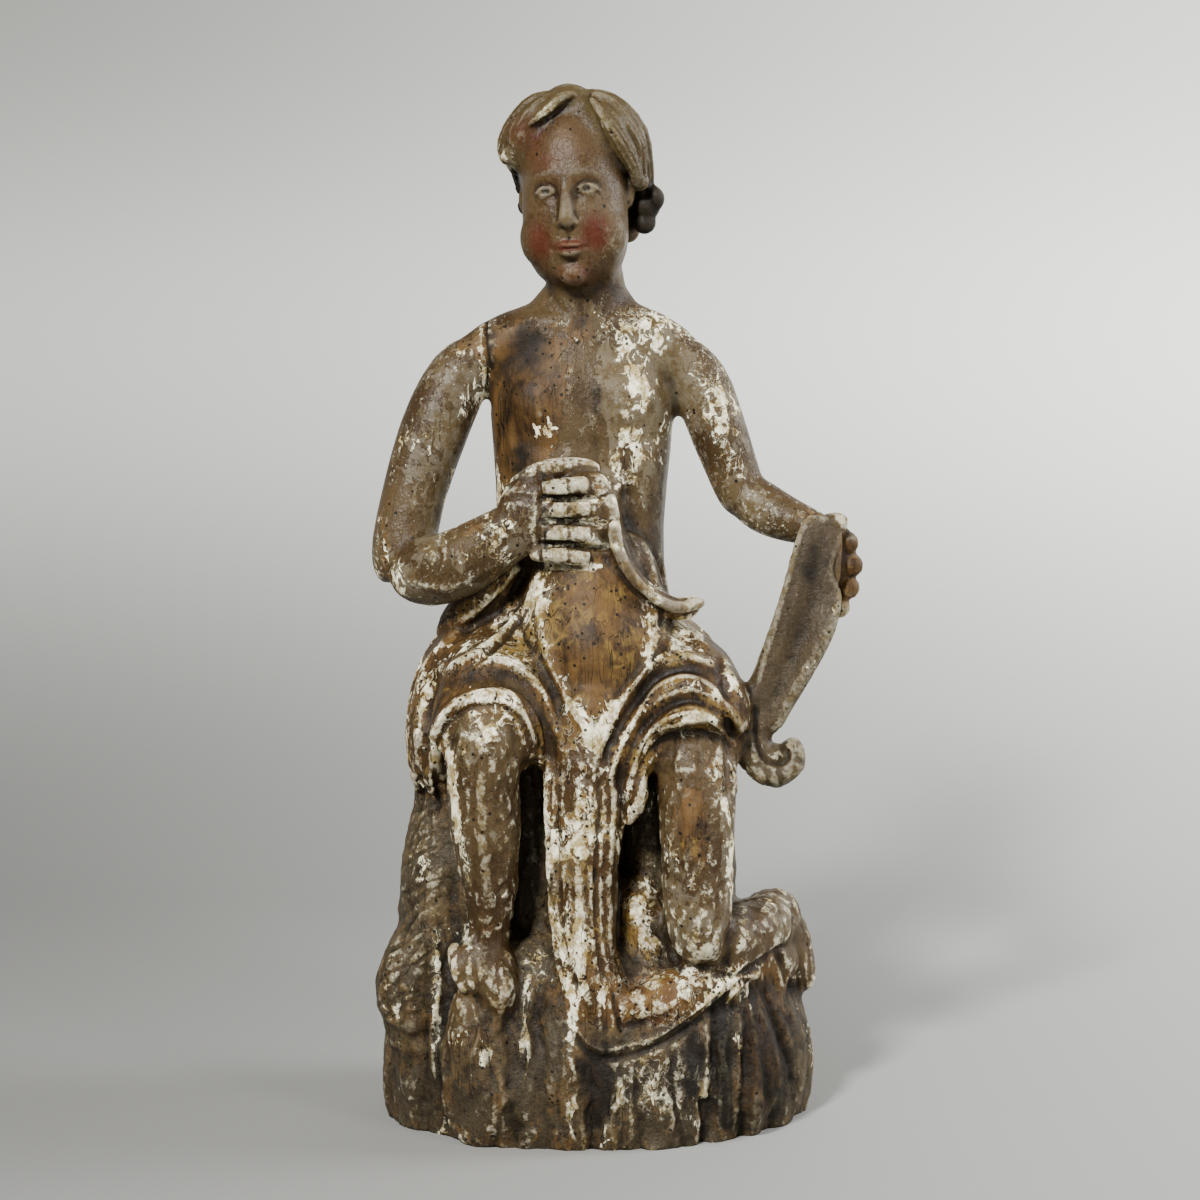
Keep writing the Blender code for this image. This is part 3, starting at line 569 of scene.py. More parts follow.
@dataclass
class Rock(Part):
    """The rock that the figure kneels on and leans against."""

    zone: ClassVar[Zone] = Zone.ROCK
    half_width: float = 142.0
    half_depth: float = 96.0
    ledge: float = 91.0  # height of the top under the planted foot
    seat: float = 276.0  # height of the part behind the figure
    swell: float = 3.2  # unevenness of the axe-cut surface

    def block(self, carving: Carving) -> None:
        """Adds the base, the seat, the lumps and the ledges."""
        form = carving.form
        wide, deep = self.half_width, self.half_depth
        form((-3, -8, -34, wide - 1, deep - 1), (-3, -9, 0, wide, deep + 1), (-2, -9, 44, wide - 3, deep),
             (-2, -8, 78, wide - 8, deep - 4), (0, 0, 104, wide - 30, deep - 18), full=0.2)
        form((-16, 22, 30, 100, 62), (-14, 20, 130, 98, 62), (-12, 22, 215, 92, 58),
             (-10, 26, self.seat, 84, 50), full=0.25)
        # lumps on the viewer's left, from the ground up to the torn edge of the cloth
        form((-112, -40, 50, 26, 40), (-113, -44, 92, 25, 34), (-110, -38, 124, 18, 26), full=0.4)
        form((-100, -14, 50, 30, 50), (-101, -12, 130, 26, 46), (-96, -4, 190, 23, 40), (-94, 0, 230, 22, 34),
             full=0.4)
        # ledges under the planted foot and beside it, and the wall behind the shin
        form((-68, -66, 0, 34, 42), (-68, -72, 56, 33, 36), (-66, -70, self.ledge, 27, 29), full=0.3)
        form((-26, -68, 0, 28, 38), (-24, -72, 56, 25, 34), (-20, -64, 96, 22, 26), full=0.3)
        form((-70, -26, 60, 26, 34), (-70, -28, 150, 24, 32), (-70, -22, 240, 24, 32), full=0.3)
        # shoulder of rock under the kneeling leg, and the wall behind the thigh
        form((40, -62, 0, 32, 44), (43, -62, 50, 30, 38), (46, -54, 84, 28, 32), full=0.3)
        form((84, -44, 0, 36, 54), (87, -40, 50, 34, 46), (88, -30, 94, 30, 40), full=0.3)
        form((112, -14, -10, 26, 54), (113, -12, 40, 25, 48), (108, -6, 82, 20, 36), full=0.3)
        form((62, -14, 70, 28, 42), (62, -14, 160, 27, 42), (60, -10, 250, 27, 42), full=0.25)
        # the rough walls at the back of the hollows between the legs
        form((-36, -34, 60, 20, 26), (-37, -35, 150, 19, 25), (-38, -30, 240, 18, 24), full=0.2)
        form((34, -30, 90, 18, 26), (33, -31, 160, 17, 25), (32, -28, 240, 17, 24), full=0.2)

    def rough(self, surface: Surface) -> None:
        """Cuts the flutes and the uneven faces while the rock stands alone."""
        surface.refresh()
        uneven = self.swell * swell_noise(surface.points / (46, 46, 80), 3)
        uneven += 1.4 * swell_noise(surface.points / (19, 19, 40), 7)
        split = -1.5 * (1 - np.abs(swell_noise(surface.points / (30, 30, 140), 21)) * 3.2).clip(0, 1) ** 2
        calmer_on_top = 1 - surface.normals[:, 2].clip(0, 1) * 0.6
        surface.points += surface.normals * ((uneven + split) * calmer_on_top)[:, None]
        surface.refresh()
        for x, top, width, depth in ((80, 92, 5, 3), (93, 96, 6, 3), (108, 88, 6, 3), (124, 70, 5, 2.5),
                                     (-90, 70, 9, 1.5), (-31, 96, 10, 1.5), (0, 60, 9, 1.2),
                                     (66, 60, 7, 2.5)):
            surface.stroke(((x, top), (x + 2, 50), (x + 1, -10)), width, -depth)
        for side in (90, 135, 180, 225, 270):
            view = Frame(turn=math.radians(side))
            for x, width, depth in ((-64, 9, 5), (-34, 7, 3), (8, 10, 5.5), (40, 6, 3), (72, 9, 4)):
                surface.stroke(((x, 88), (x + 6, 40), (x - 2, -10)), width, -depth, view=view)
        surface.stroke(((-140, 66), (-112, 60), (-92, 72)), 8, -5)

    def chisel(self, surface: Surface) -> None:
        """Cuts the sharper flutes, the edges between them and the gouge marks."""
        stroke = surface.stroke
        # the mass under the planted foot: a few thin raised edges with scoops beside them, lost lower down
        for x, top, foot, width, lift in (
            (-99, 122, 34, 2.4, 1.9), (-91, 112, 46, 4.5, -2.4), (-73, 90, 36, 2.6, 1.4),
            (-64, 86, 20, 5, -1.6), (-52, 90, 40, 4.5, -2.0), (-42, 104, 44, 2.0, 2.8),
            (-34, 98, 30, 6, -2.8), (-22, 74, 10, 1.6, -1.6), (-14, 60, 4, 3.6, 1.8), (-3, 52, 6, 2.0, -1.6),
            (12, 54, 2, 3.4, 1.2), (24, 52, 22, 2.2, -1.6), (47, 60, 2, 2.4, -1.4), (72, 80, 4, 5.0, -4.5),
            (80, 84, 2, 3.6, 2.0),
        ):
            wander = 2.6 * math.sin(x * 1.7)
            stroke(((x - wander * 0.5, top), (x + wander, (top * 2 + foot) / 3),
                    (x - wander, (top + foot * 2) / 3), (x + wander * 0.5, foot)), width, lift, reach=0)
        # broad hollows and swellings between them
        for x, z, wide, tall, lift in ((-118, 34, 16, 18, 2.4), (-84, 26, 16, 15, -2.6),
                                       (-56, 30, 13, 18, 2.8), (-28, 22, 10, 16, -2.4),
                                       (-60, 62, 8, 12, -1.8), (14, 32, 12, 16, 2.0), (38, 34, 14, 20, 1.6),
                                       (58, 30, 8, 18, -2.0), (36, 10, 10, 8, -2.4)):
            surface.dab(x, z, wide, tall, lift, reach=0)
        # notches in the lower edge
        for x, width, depth in ((-108, 9, 2), (-50, 8, 2.5), (-2, 7, 3.5), (26, 6, 2), (66, 5, 5),
                                (90, 6, 3)):
            stroke(((x, 26), (x + 1, 12), (x, -6)), width, -depth, reach=-20, fade=0.1)
        # flutes that fan out below the kneeling foot
        for foot, width, lift in ((89, 4, -2.4), (97, 2.6, 1.4), (105, 5, -3.4), (114, 2.6, 1.2),
                                  (122, 3.6, -2.2)):
            stroke(((92 + (foot - 90) * 0.25, 94), ((92 + foot * 2) / 3 + 2, 60), (foot + 1, 28),
                    (foot - 1, 2)), width, lift, reach=40)
        # concentric gouge marks of the split lump
        for radius in (9, 14, 19, 25, 31):
            arc = [(-112 + radius * math.cos(t), 66 + radius * 1.3 * math.sin(t))
                   for t in (0.4, 1.0, 1.6, 2.2, 2.9)]
            stroke(arc, 1.7, -0.9, reach=20)
        # slanting marks on the rock beside the shin
        for number, z in enumerate(range(108, 216, 9)):
            skew = 4 * math.sin(number * 2.3)
            stroke(((-128 + 2 * skew, z - 20), (-110, z + skew * 0.3), (-92 - skew, z + 9 + skew)), 1.6, -1.1,
                   reach=10)
        surface.refresh()
        low = surface.points[:, 2] < 250
        outside = np.exp(-((surface.points[:, 0] + 8) / 88) ** 6 - (surface.points[:, 1] / 78) ** 6) < 0.6
        walls = (surface.points[:, 1] > -66) & (surface.points[:, 1] < 0)
        chips = 0.9 * swell_noise(surface.points / (9, 9, 13), 11)
        chips += 0.6 * swell_noise(surface.points / (3.6, 3.6, 5), 12)
        chips -= 0.9 * (1 - np.abs(swell_noise(surface.points / (11, 11, 30), 31)) * 6).clip(0, 1)
        rocky = (low & (outside | walls | (surface.points[:, 2] < 60))).astype(float)
        surface.points += surface.normals * (chips * rocky)[:, None]


@dataclass
class Torso(Part):
    """Chest, belly, neck and the slope of the shoulders."""

    waist: float = 54.0  # half widths
    chest: float = 60.0
    neck: float = 24.5

    def block(self, carving: Carving) -> None:
        """Adds the trunk, the yoke of the shoulders and the neck."""
        form = carving.form
        form((-12, 12, 262, 78, 46), (-12, 10, 300, 74, 46), (-11, 6, 340, self.waist + 4, 43),
             (-10, 5, 380, self.waist, 38), (-9, 4, 420, 57, 36), (-9, 3, 455, self.chest, 35),
             (-9, 4, 482, 56, 31), (-8, 6, 506, 40, 24), full=0.3)
        form((-92, 2, 466, 19, 19), (-68, 3, 484, 20, 20), (-40, 4, 492, 22, 23), (-8, 5, 494, 24, 25),
             (24, 4, 492, 22, 23), (48, 3, 483, 20, 20), (70, 2, 464, 18, 18), full=0.35, front=(0, 0, 1))
        form((-5, 8, 488, 27, 25), (-5, 5, 515, self.neck, 24), (-6, -1, 550, 24, 24), full=0.3)
        for side in (-1, 1):
            form((-6 + 4 * side, 10, 536, 15, 15), (-8 + 22 * side, 8, 503, 17, 18),
                 (-9 + 44 * side, 6, 484, 14, 16), full=0.5)
            form((-9 + 30 * side, -6, 470, 24, 22), (-9 + 24 * side, -13, 450, 22, 18),
                 (-9 + 20 * side, -12, 430, 18, 17), full=0.8)
        form((-9, -10, 420, 34, 22), (-9, -14, 386, 38, 24), (-9, -14, 350, 38, 26), full=0.6)

    def chisel(self, surface: Surface) -> None:
        """Marks the collar bones, the breast, the spine and the old cracks."""
        stroke = surface.stroke
        surface.refresh()
        for side in (-1, 1):
            stroke(((-8 + 6 * side, 499), (-8 + 24 * side, 503), (-8 + 46 * side, 497)), 7, 0.9, reach=10)
            stroke(((-9 + 6 * side, 428), (-9 + 24 * side, 423), (-9 + 44 * side, 432)), 8, -1.0, reach=0)
            surface.dab(-9 + 27 * side, 444, 4, 4, 1.0, reach=0)
            stroke(((-8 + 20 * side, 545), (-8 + 14 * side, 520), (-8 + 4 * side, 502)), 5, 1.0, reach=10)
        stroke(((-8, 480), (-8, 450), (-9, 420)), 8, -1.2, reach=0)
        stroke(((9, 490), (9, 440), (10, 380), (11, 340)), 9, -4, view=BACK)
        for blade in (-1, 1):
            stroke(((9 + 20 * blade, 470), (9 + 30 * blade, 440), (9 + 36 * blade, 420)), 10, 3, view=BACK)
        # shrinkage cracks at the joint of the right shoulder
        stroke(((-69, 506), (-70, 490), (-68, 474), (-69, 458)), 1.5, -2.2, reach=20)


@dataclass
class RightArm(Part):
    """The arm on the viewer's left, bent across the belly, with its hand."""

    upper: float = 21.0  # half widths
    fore: float = 22.0
    finger: float = 5.5

    def block(self, carving: Carving) -> None:
        """Adds the upper arm, the forearm and the back of the hand."""
        form = carving.form
        upper, fore = self.upper, self.fore
        form((-72, 2, 486, upper - 1, 20), (-88, 2, 467, upper + 1, 22), (-103, -2, 434, upper + 1, 21),
             (-116, -7, 392, upper - 0.5, 20), (-122, -13, 356, upper + 1, 21),
             (-119, -17, 342, upper + 1, 21), full=0.35)
        form((-123, -16, 350, fore + 2, 23), (-104, -27, 346, fore + 1, 22), (-84, -37, 353, fore - 0.5, 21),
             (-62, -45, 366, fore - 2, 18), (-42, -50, 378, 21, 15), full=0.35)
        form((-54, -46, 373, 21, 15), (-38, -51, 381, 26, 13), (-22, -55, 382, 26, 11), full=0.4)
        form((-10, -46, 408, 20, 12), (-8, -49, 380, 20, 13), (-12, -48, 352, 16, 12), full=0.3)

    def detail(self, carving: Carving) -> None:
        """Adds the four fingers, the thumb and the edge of the hand above them."""
        finger = self.finger
        for root, bend, tip, length, thick in ((399, 401, 400, 37, 1.0), (385.5, 387, 385, 42, 1.05),
                                               (371.5, 371.5, 369, 42, 1.0), (358.5, 357, 354, 37, 0.9)):
            half = finger * thick
            carving.form((-40, -53, root, half + 1.2, 7), (-27, -58.5, root, half + 0.9, 7.2),
                         (-22, -60, root, half + 0.9, 7.2), (-12, -60, bend, half - 0.2, 6.2),
                         (-7, -59.8, bend, half, 6.4), (-40 + length * 0.9, -57, tip, half - 0.8, 5.4),
                         (-37 + length, -52, tip, half - 1.6, 5), full=0.35)
        carving.form((-52, -46, 396, 9), (-38, -50, 406, 8), (-24, -49, 411, 6.5), (-8, -44, 412, 5.8),
                     (2, -40, 410, 5), full=0.45)

    def chisel(self, surface: Surface) -> None:
        """Cuts the grooves between the fingers, the joints, the nails and the crack at the wrist."""
        stroke = surface.stroke
        surface.refresh()
        for left, right in ((393, 393.5), (379, 378), (365, 362.5)):
            stroke(((-34, left), (-18, left), (-4, right), (9, right)), 2.6, -3.4, reach=-40, fade=0.2)
        for z in (400, 386, 371.5, 357.5):
            for x in (-17, -3):
                stroke(((x, z - 4.5), (x + 0.7, z), (x, z + 4.5)), 1.5, -0.7, reach=-40)
        stroke(((-35, 412), (-34, 392), (-35, 370), (-33, 350)), 1.7, -1.8, reach=-30)
        stroke(((-58, 392), (-44, 394), (-36, 390)), 3.5, -1.0, reach=-30)
        surface.dab(-60, 374, 10, 8, 1.2, reach=-30)
        # the belly of the forearm and the bend of the elbow
        stroke(((-112, 340), (-92, 338), (-70, 348)), 6, 1.4, reach=10)
        stroke(((-102, 366), (-96, 358), (-98, 350)), 3, -1.2, reach=10)


@dataclass
class LeftArm(Part):
    """The arm on the viewer's right, reaching down and out to the scroll, with its hand."""

    upper: float = 20.0  # half widths
    wrist: float = 12.0

    def block(self, carving: Carving) -> None:
        """Adds the upper arm, the forearm and the palm."""
        upper = self.upper
        carving.form((50, 3, 487, upper - 1, 19), (66, 2, 465, upper, 20), (77, 0, 436, upper - 1.5, 18),
                     (86, 0, 412, upper - 3, 17), (93, -1, 394, upper - 3.5, 17), (99, -4, 386, 15, 16),
                     full=0.35)
        carving.form((90, -1, 400, 16, 17), (104, -7, 387, 16.5, 16), (122, -15, 378, 14.5, 14),
               (146, -24, 371, self.wrist, 12), full=0.35)
        carving.ball(150, -22, 354, 14, 12, 24)

    def detail(self, carving: Carving) -> None:
        """Adds the knuckles behind the scroll and the thumb over its edge."""
        for z, x in ((364, 161), (350, 164), (336, 162), (324, 156)):
            carving.form((x - 18, -20, z, 7), (x - 4, -25, z, 7.6), (x - 5, -34, z - 1, 6.5), full=0.6)
        carving.form((140, -30, 376, 7), (150, -36, 377, 6.5), (156, -38, 376, 5.5), full=0.5)


@dataclass
class Scroll(Part):
    """The banderole that hangs from the left hand and curls up at its end."""

    zone: ClassVar[Zone] = Zone.SCROLL
    half_width: float = 18.0
    turn: float = 14.0  # half depth of the rolled end

    def block(self, carving: Carving) -> None:
        """Adds the band, its turned edge and the volute."""
        form = carving.form
        wide, turn = self.half_width, self.turn
        form((141, -38, 382, wide - 3, 5), (138, -41, 362, wide - 1, 5.5), (131, -43, 328, wide, 6),
             (120, -43, 296, wide, 6.5), (107, -42, 268, 15, 9), (101, -42, 246, 12, 12), full=0.25)
        form((151, -46, 336, 4), (143, -48, 312, 6), (130, -48, 288, 6.5), (117, -47, 266, 7),
             (108, -45, 246, 7), full=0.4)
        form((99, -42, 258, 11, 13), (97, -43, 240, 11, turn), (101, -44, 226, 10, turn),
             (112, -45, 221, 9, turn), (122, -45, 227, 8, turn), (123, -45, 237, 7, 13),
             (116, -45, 241, 5, 11), full=0.25)
        form((108, -45, 234, 9, 12), (113, -45, 231, 8, 11))
        form((98, -36, 268, 10), (86, -28, 262, 13), (74, -22, 254, 14), full=0.4)

    def chisel(self, surface: Surface) -> None:
        """Hollows the band and the volute."""
        surface.refresh()
        surface.strokes(reach=-30, rows=(
            (((140, 372), (135, 345), (127, 312), (117, 284), (108, 262)), 10, -2.4),
            (((128, 378), (121, 350), (112, 318), (104, 290), (97, 266)), 3.2, 1.4),
            (((100, 262), (99, 246), (103, 233), (112, 229), (118, 233), (115, 239)), 3.0, -2.6),
            (((152, 362), (148, 350), (150, 340)), 2.0, -2.0),
        ))


@dataclass
class RightLeg(Part):
    """The bent leg on the viewer's left, with its foot on the rock."""

    knee: float = 24.5  # half widths
    calf: float = 22.0
    ankle: float = 14.5

    def block(self, carving: Carving) -> None:
        """Adds thigh, shin and foot."""
        form = carving.form
        knee, calf, ankle = self.knee, self.calf, self.ankle
        form((-30, 20, 262, 34), (-46, -24, 264, 31), (-62, -70, 257, 27), (-66, -90, 250, knee), full=0.4)
        form((-66, -84, 264, 22, 20), (-67, -88, 248, 24, 24), (-68, -87, 224, calf + 0.5, 23),
             (-67, -84, 190, calf - 1, 22), (-64, -81, 158, 17.5, 18), (-65, -80, 132, ankle, 16),
             (-66, -80, 108, ankle + 0.5, 17), full=0.35)
        form((-64, -74, 122, ankle, 16), (-62, -86, 108, ankle - 1, 15), (-58, -94, 96, ankle - 3.5, 13),
             (-56, -94, 82, 9, 10), full=0.4)
        form((-74, -80, 124, 10, 13), (-74, -88, 110, 11, 14), (-69, -95, 96, 10, 11), full=0.4)
        form((-78, -84, 96, 12, 14), (-76, -86, 74, 15, 16), (-74, -84, 50, 17, 18), full=0.5)

    def detail(self, carving: Carving) -> None:
        """Adds the splintered wood where the toes are lost."""
        carving.form((-86, -88, 124, 4), (-84, -94, 110, 5), (-78, -98, 96, 4), full=0.5)

    def chisel(self, surface: Surface) -> None:
        """Models the knee cap, the shin bone and the ankle."""
        surface.refresh()
        surface.dab(-67, 250, 12, 11, 2.0, reach=-80)
        surface.strokes(reach=-70, rows=(
            (((-84, 258), (-85, 244), (-78, 232)), 5, -1.6),
            (((-50, 258), (-49, 244), (-56, 232)), 5, -1.6),
            (((-68, 228), (-67, 190), (-65, 150)), 6, 1.3),
        ))
        surface.dab(-52, 128, 4, 5, 1.6, reach=-60)
        surface.stroke(((-70, 136), (-74, 124), (-73, 108), (-68, 96)), 2.4, -1.0, reach=-70)
        for x, z, lift in ((-78, 118, -0.9), (-79, 103, 0.7)):
            surface.dab(x, z, 3, 6, lift, reach=-70)


@dataclass
class LeftLeg(Part):
    """The kneeling leg on the viewer's right, its shin laid back along the rock."""

    thigh: float = 24.0  # half widths
    shin: float = 21.0

    def block(self, carving: Carving) -> None:
        """Adds thigh, shin and foot, and the rock that fills the space under them."""
        form = carving.form
        thigh, shin = self.thigh, self.shin
        form((36, 20, 280, 36), (50, -22, 262, 33), (60, -58, 236, 27), (62, -72, 200, thigh, 24),
             (62, -78, 160, thigh - 2, 23), (63, -79, 130, thigh - 2.5, 23), (64, -78, 112, 19, 21), full=0.3)
        form((64, -76, 121, shin - 1, 19), (82, -60, 119, shin, 19), (100, -38, 122, shin, 19),
             (114, -18, 127, shin - 2, 17), (123, -6, 128, 15, 14), full=0.35, front=(0, 0, 1))
        form((116, -10, 128, 14, 15), (124, -8, 112, 13, 16), (130, -8, 92, 11, 17), (134, -12, 76, 9, 13),
             full=0.35)
        form((92, -38, 90, 26, 26), (108, -24, 100, 22, 22), (116, -14, 106, 16, 16))

    def chisel(self, surface: Surface) -> None:
        """Models the knee, the ankle and the toes."""
        stroke = surface.stroke
        surface.refresh()
        surface.dab(63, 122, 12, 12, 1.8, reach=-70)
        stroke(((46, 132), (45, 118), (52, 106)), 5, -1.5, reach=-60)
        stroke(((80, 134), (82, 120), (78, 108)), 6, -2.6, reach=-30)
        stroke(((72, 104), (88, 102), (104, 108), (118, 112)), 3.5, -3.2, reach=0)
        stroke(((112, 112), (118, 98), (124, 80)), 4, -3.0, reach=20)
        for x in (128, 132):
            stroke(((x, 92), (x + 1, 82), (x + 2, 74)), 1.6, -1.2, reach=20)


# crests and hems of the cloth as x and z, which the paint follows too
KNEE_RIDGE = ((-104, 272), (-96, 284), (-81, 293), (-63, 296), (-45, 290), (-32, 275), (-24, 254))
KNEE_HEM = ((-102, 244), (-93, 262), (-79, 275), (-63, 279), (-48, 275), (-38, 263), (-33, 247), (-34, 232))
THIGH_RIDGE = ((8, 226), (18, 250), (27, 265), (38, 279), (53, 285), (66, 282), (78, 271), (88, 252))
THIGH_INNER_BAND = ((14, 222), (23, 246), (33, 261), (46, 271), (61, 273), (76, 264), (87, 246))
THIGH_HEM = ((17, 214), (26, 242), (35, 255), (47, 263), (62, 265), (74, 256), (84, 243))
UNDER_HEM = ((-14, 84), (-8, 70), (4, 63), (22, 65), (38, 70), (50, 77), (64, 87), (78, 98), (92, 109))
BORDER = ((-29, 236), (-30, 200), (-28, 156), (-24, 118), (-14, 86))


@dataclass
class Cloth(Part):
    """The cloth round hips and thighs, its folds and the lengths that hang from it."""

    zone: ClassVar[Zone] = Zone.CLOTH
    hip: float = 90.0  # half width
    sleeve: float = 36.0  # half width of the cloth round a thigh
    fold: float = 4.0  # height of the larger folds

    def block(self, carving: Carving) -> None:
        """Adds the cloth without its folds."""
        form = carving.form
        hip, sleeve = self.hip, self.sleeve
        form((-14, 12, 340, 58, 44), (-15, 10, 314, hip - 12, 50), (-14, 6, 288, hip, 54),
             (-10, 4, 250, hip + 2, 54), (-8, 6, 222, hip - 6, 48), full=0.25)
        # the sleeve of cloth round the right thigh, cut off square behind the knee, and the cloth beside it
        form((-40, 14, 284, sleeve + 8, 40), (-52, -28, 275, sleeve + 7, 38), (-61, -62, 263, sleeve + 3, 34),
             (-66, -84, 253, sleeve, 31), (-67, -92, 249, sleeve - 1, 30), full=0.15)
        form((-78, 4, 306, 22, 36), (-92, -8, 276, 22, 44), (-101, -14, 240, 19, 46),
             (-103, -12, 206, 16, 40), full=0.3)
        # the sleeve round the left thigh, cut off square above the knee
        form((20, 8, 300, sleeve + 2, 38), (40, -24, 280, sleeve + 2, 38), (57, -50, 266, sleeve + 1, 36),
             (60, -66, 252, sleeve - 1.5, 33), (61, -70, 246, sleeve - 2, 32), full=0.15)
        form((50, 6, 306, 12, 34), (72, 2, 268, 17, 42), (79, 4, 226, 13, 38), full=0.3)
        # the lap between the thighs, sloping forward from the belly
        form((0, -14, 376, 34, 36), (0, -26, 334, 44, 38), (-1, -38, 294, 46, 42), (-1, -52, 256, 30, 34),
             full=0.25)
        form((-30, -50, 290, 20), (-32, -62, 262, 16), (-26, -72, 240, 12), (-24, -74, 218, 8), full=0.4)
        form((22, -50, 286, 20), (24, -66, 258, 17), (22, -74, 236, 15), (20, -78, 214, 10), full=0.4)
        # the cloth that hangs between the legs, and what fills the space behind it
        form((-2, -72, 276, 20, 16), (-4, -77, 240, 28, 16), (-7, -80, 196, 25, 16), (-8, -82, 152, 21, 16),
             (-6, -86, 112, 19, 16), (2, -90, 84, 22, 14), (6, -92, 64, 22, 11), full=0.25)
        form((2, -58, 240, 18, 26), (0, -54, 180, 14, 28), (0, -58, 120, 16, 28), full=0.3)
        # the cloth spread under the kneeling leg
        form((4, -82, 80, 17, 16), (34, -84, 86, 19, 16), (66, -72, 95, 19, 17), (92, -50, 102, 17, 16),
             (108, -28, 106, 12, 12), full=0.35, front=(0, 0, 1))
        form((32, -64, 92, 20), (28, -58, 130, 17), (24, -50, 160, 12))

    def detail(self, carving: Carving) -> None:
        """Adds the sash, the ledge at the hip and the torn tail, which stand clear of the cloth."""
        carving.form((6, -50, 388, 5), (12, -55, 360, 6), (24, -54, 341, 6.5), (40, -47, 328, 7),
                     (54, -39, 323, 7.5), (63, -34, 327, 7), full=0.35)
        carving.form((-50, -30, 352, 10), (-70, -20, 330, 14), (-86, -8, 310, 15), (-90, 4, 296, 13),
                     full=0.4)
        carving.form((24, -82, 238, 6), (25, -84, 214, 7), (19, -84, 196, 3), full=0.4)

    def chisel(self, surface: Surface) -> None:
        """Cuts all the folds."""
        surface.refresh()
        self.knee_folds(surface)
        self.thigh_folds(surface)
        self.lap_folds(surface)
        self.hanging_folds(surface)
        self.kneeling_folds(surface)
        self.back_folds(surface)
        self.sash(surface)

    def knee_folds(self, surface: Surface) -> None:
        """The arcs over the right knee: a ridge, a broad hollow and the hem."""
        fold = self.fold
        surface.strokes(reach=0, rows=(
            (KNEE_RIDGE, 4.5, fold * 0.55, 3),
            (((-102, 258), (-92, 276), (-76, 286), (-58, 287), (-43, 279), (-34, 264), (-29, 240)), 8, -6),
            (KNEE_HEM, 2.4, fold * 0.55, 3),
            (((-96, 246), (-89, 258), (-77, 268), (-63, 271), (-50, 267), (-42, 256), (-38, 242)), 3.4, -2.4),
        ))
        # the cloth that falls outside the knee
        for x, lift in ((-110, 1.5), (-102, -2.2), (-95, 1.6)):
            surface.stroke(((x + 4, 288), (x, 262), (x - 4, 232), (x - 3, 204)), 5, lift)
        for x in (-112, -100):
            surface.stroke(((x, 224), (x + 2, 212), (x, 196)), 4, -4)

    def thigh_folds(self, surface: Surface) -> None:
        """The arcs over the left thigh: three ridges with hollows between them."""
        fold = self.fold
        surface.strokes(reach=0, rows=(
            (((-4, 243), (6, 261), (18, 275), (34, 291), (50, 301)), 4, fold * 0.55, 3),
            (((4, 236), (14, 257), (28, 276), (44, 289), (62, 290), (78, 281), (89, 262)), 5.5, -4.5),
            (THIGH_RIDGE, 2.8, fold * 0.6, 3),
            (THIGH_INNER_BAND, 5, -4),
            (THIGH_HEM, 2.3, fold * 0.55, 3),
            (((21, 210), (29, 234), (39, 246), (50, 251), (64, 252), (76, 246)), 3.4, -2.2),
        ))
        for x, lift in ((84, 1.6), (78, -2.2)):
            surface.stroke(((x - 4, 300), (x, 274), (x + 3, 240), (x + 1, 214)), 5, lift)

    def lap_folds(self, surface: Surface) -> None:
        """The V below the belly, and the long folds that run down from the hand."""
        stroke = surface.stroke
        fold = self.fold
        stroke(((-35, 340), (-33, 316), (-27, 292), (-13, 266), (0, 245), (0, 222)), 6, fold * 0.6, reach=0,
               sharp=3)
        stroke(((33, 340), (35, 316), (30, 292), (16, 266), (2, 245)), 6, fold * 0.6, reach=0, sharp=3)
        surface.dab(0, 300, 20, 34, 2.2, reach=0)
        surface.strokes(reach=10, rows=(
            (((-38, 334), (-48, 318), (-62, 305), (-82, 294), (-98, 286)), 4.5, fold * 0.8, 3),
            (((-42, 326), (-54, 310), (-68, 298), (-88, 289)), 4, -2.4),
            (((-46, 344), (-60, 328), (-76, 314), (-92, 303)), 5, -fold),
            (((40, 316), (56, 306), (70, 299)), 5, -3),
            (((38, 308), (54, 298), (70, 292)), 3.5, 1.6),
        ))
        stroke(((-58, 335), (-50, 312), (-42, 298)), 4, 1.4, reach=0)
        stroke(((44, 326), (40, 308), (38, 296)), 4, 1.2, reach=0)

    def hanging_folds(self, surface: Surface) -> None:
        """The border and the upright facets of the length that hangs between the legs."""
        fold = self.fold
        surface.strokes(reach=-40, rows=(
            (BORDER, 2.6, fold * 0.35, 3),
            (((-22, 240), (-23, 206), (-22, 160), (-18, 120), (-9, 90)), 3, -fold * 0.4),
            (((-9, 232), (-11, 206), (-10, 160), (-7, 124)), 5, fold * 0.3, 3),
            (((1, 236), (2, 204), (0, 170), (1, 130), (5, 104)), 2.4, -fold * 0.55),
            (((9, 230), (10, 206), (8, 160), (9, 120)), 4, fold * 0.35, 3),
            (((16, 222), (17, 190), (15, 150), (14, 120)), 2.6, -1.8),
            (((-14, 160), (-15, 134), (-12, 104), (-4, 82)), 2, -1.1),
            (((4, 100), (2, 86), (3, 72)), 3, 1.0, 3),
        ))

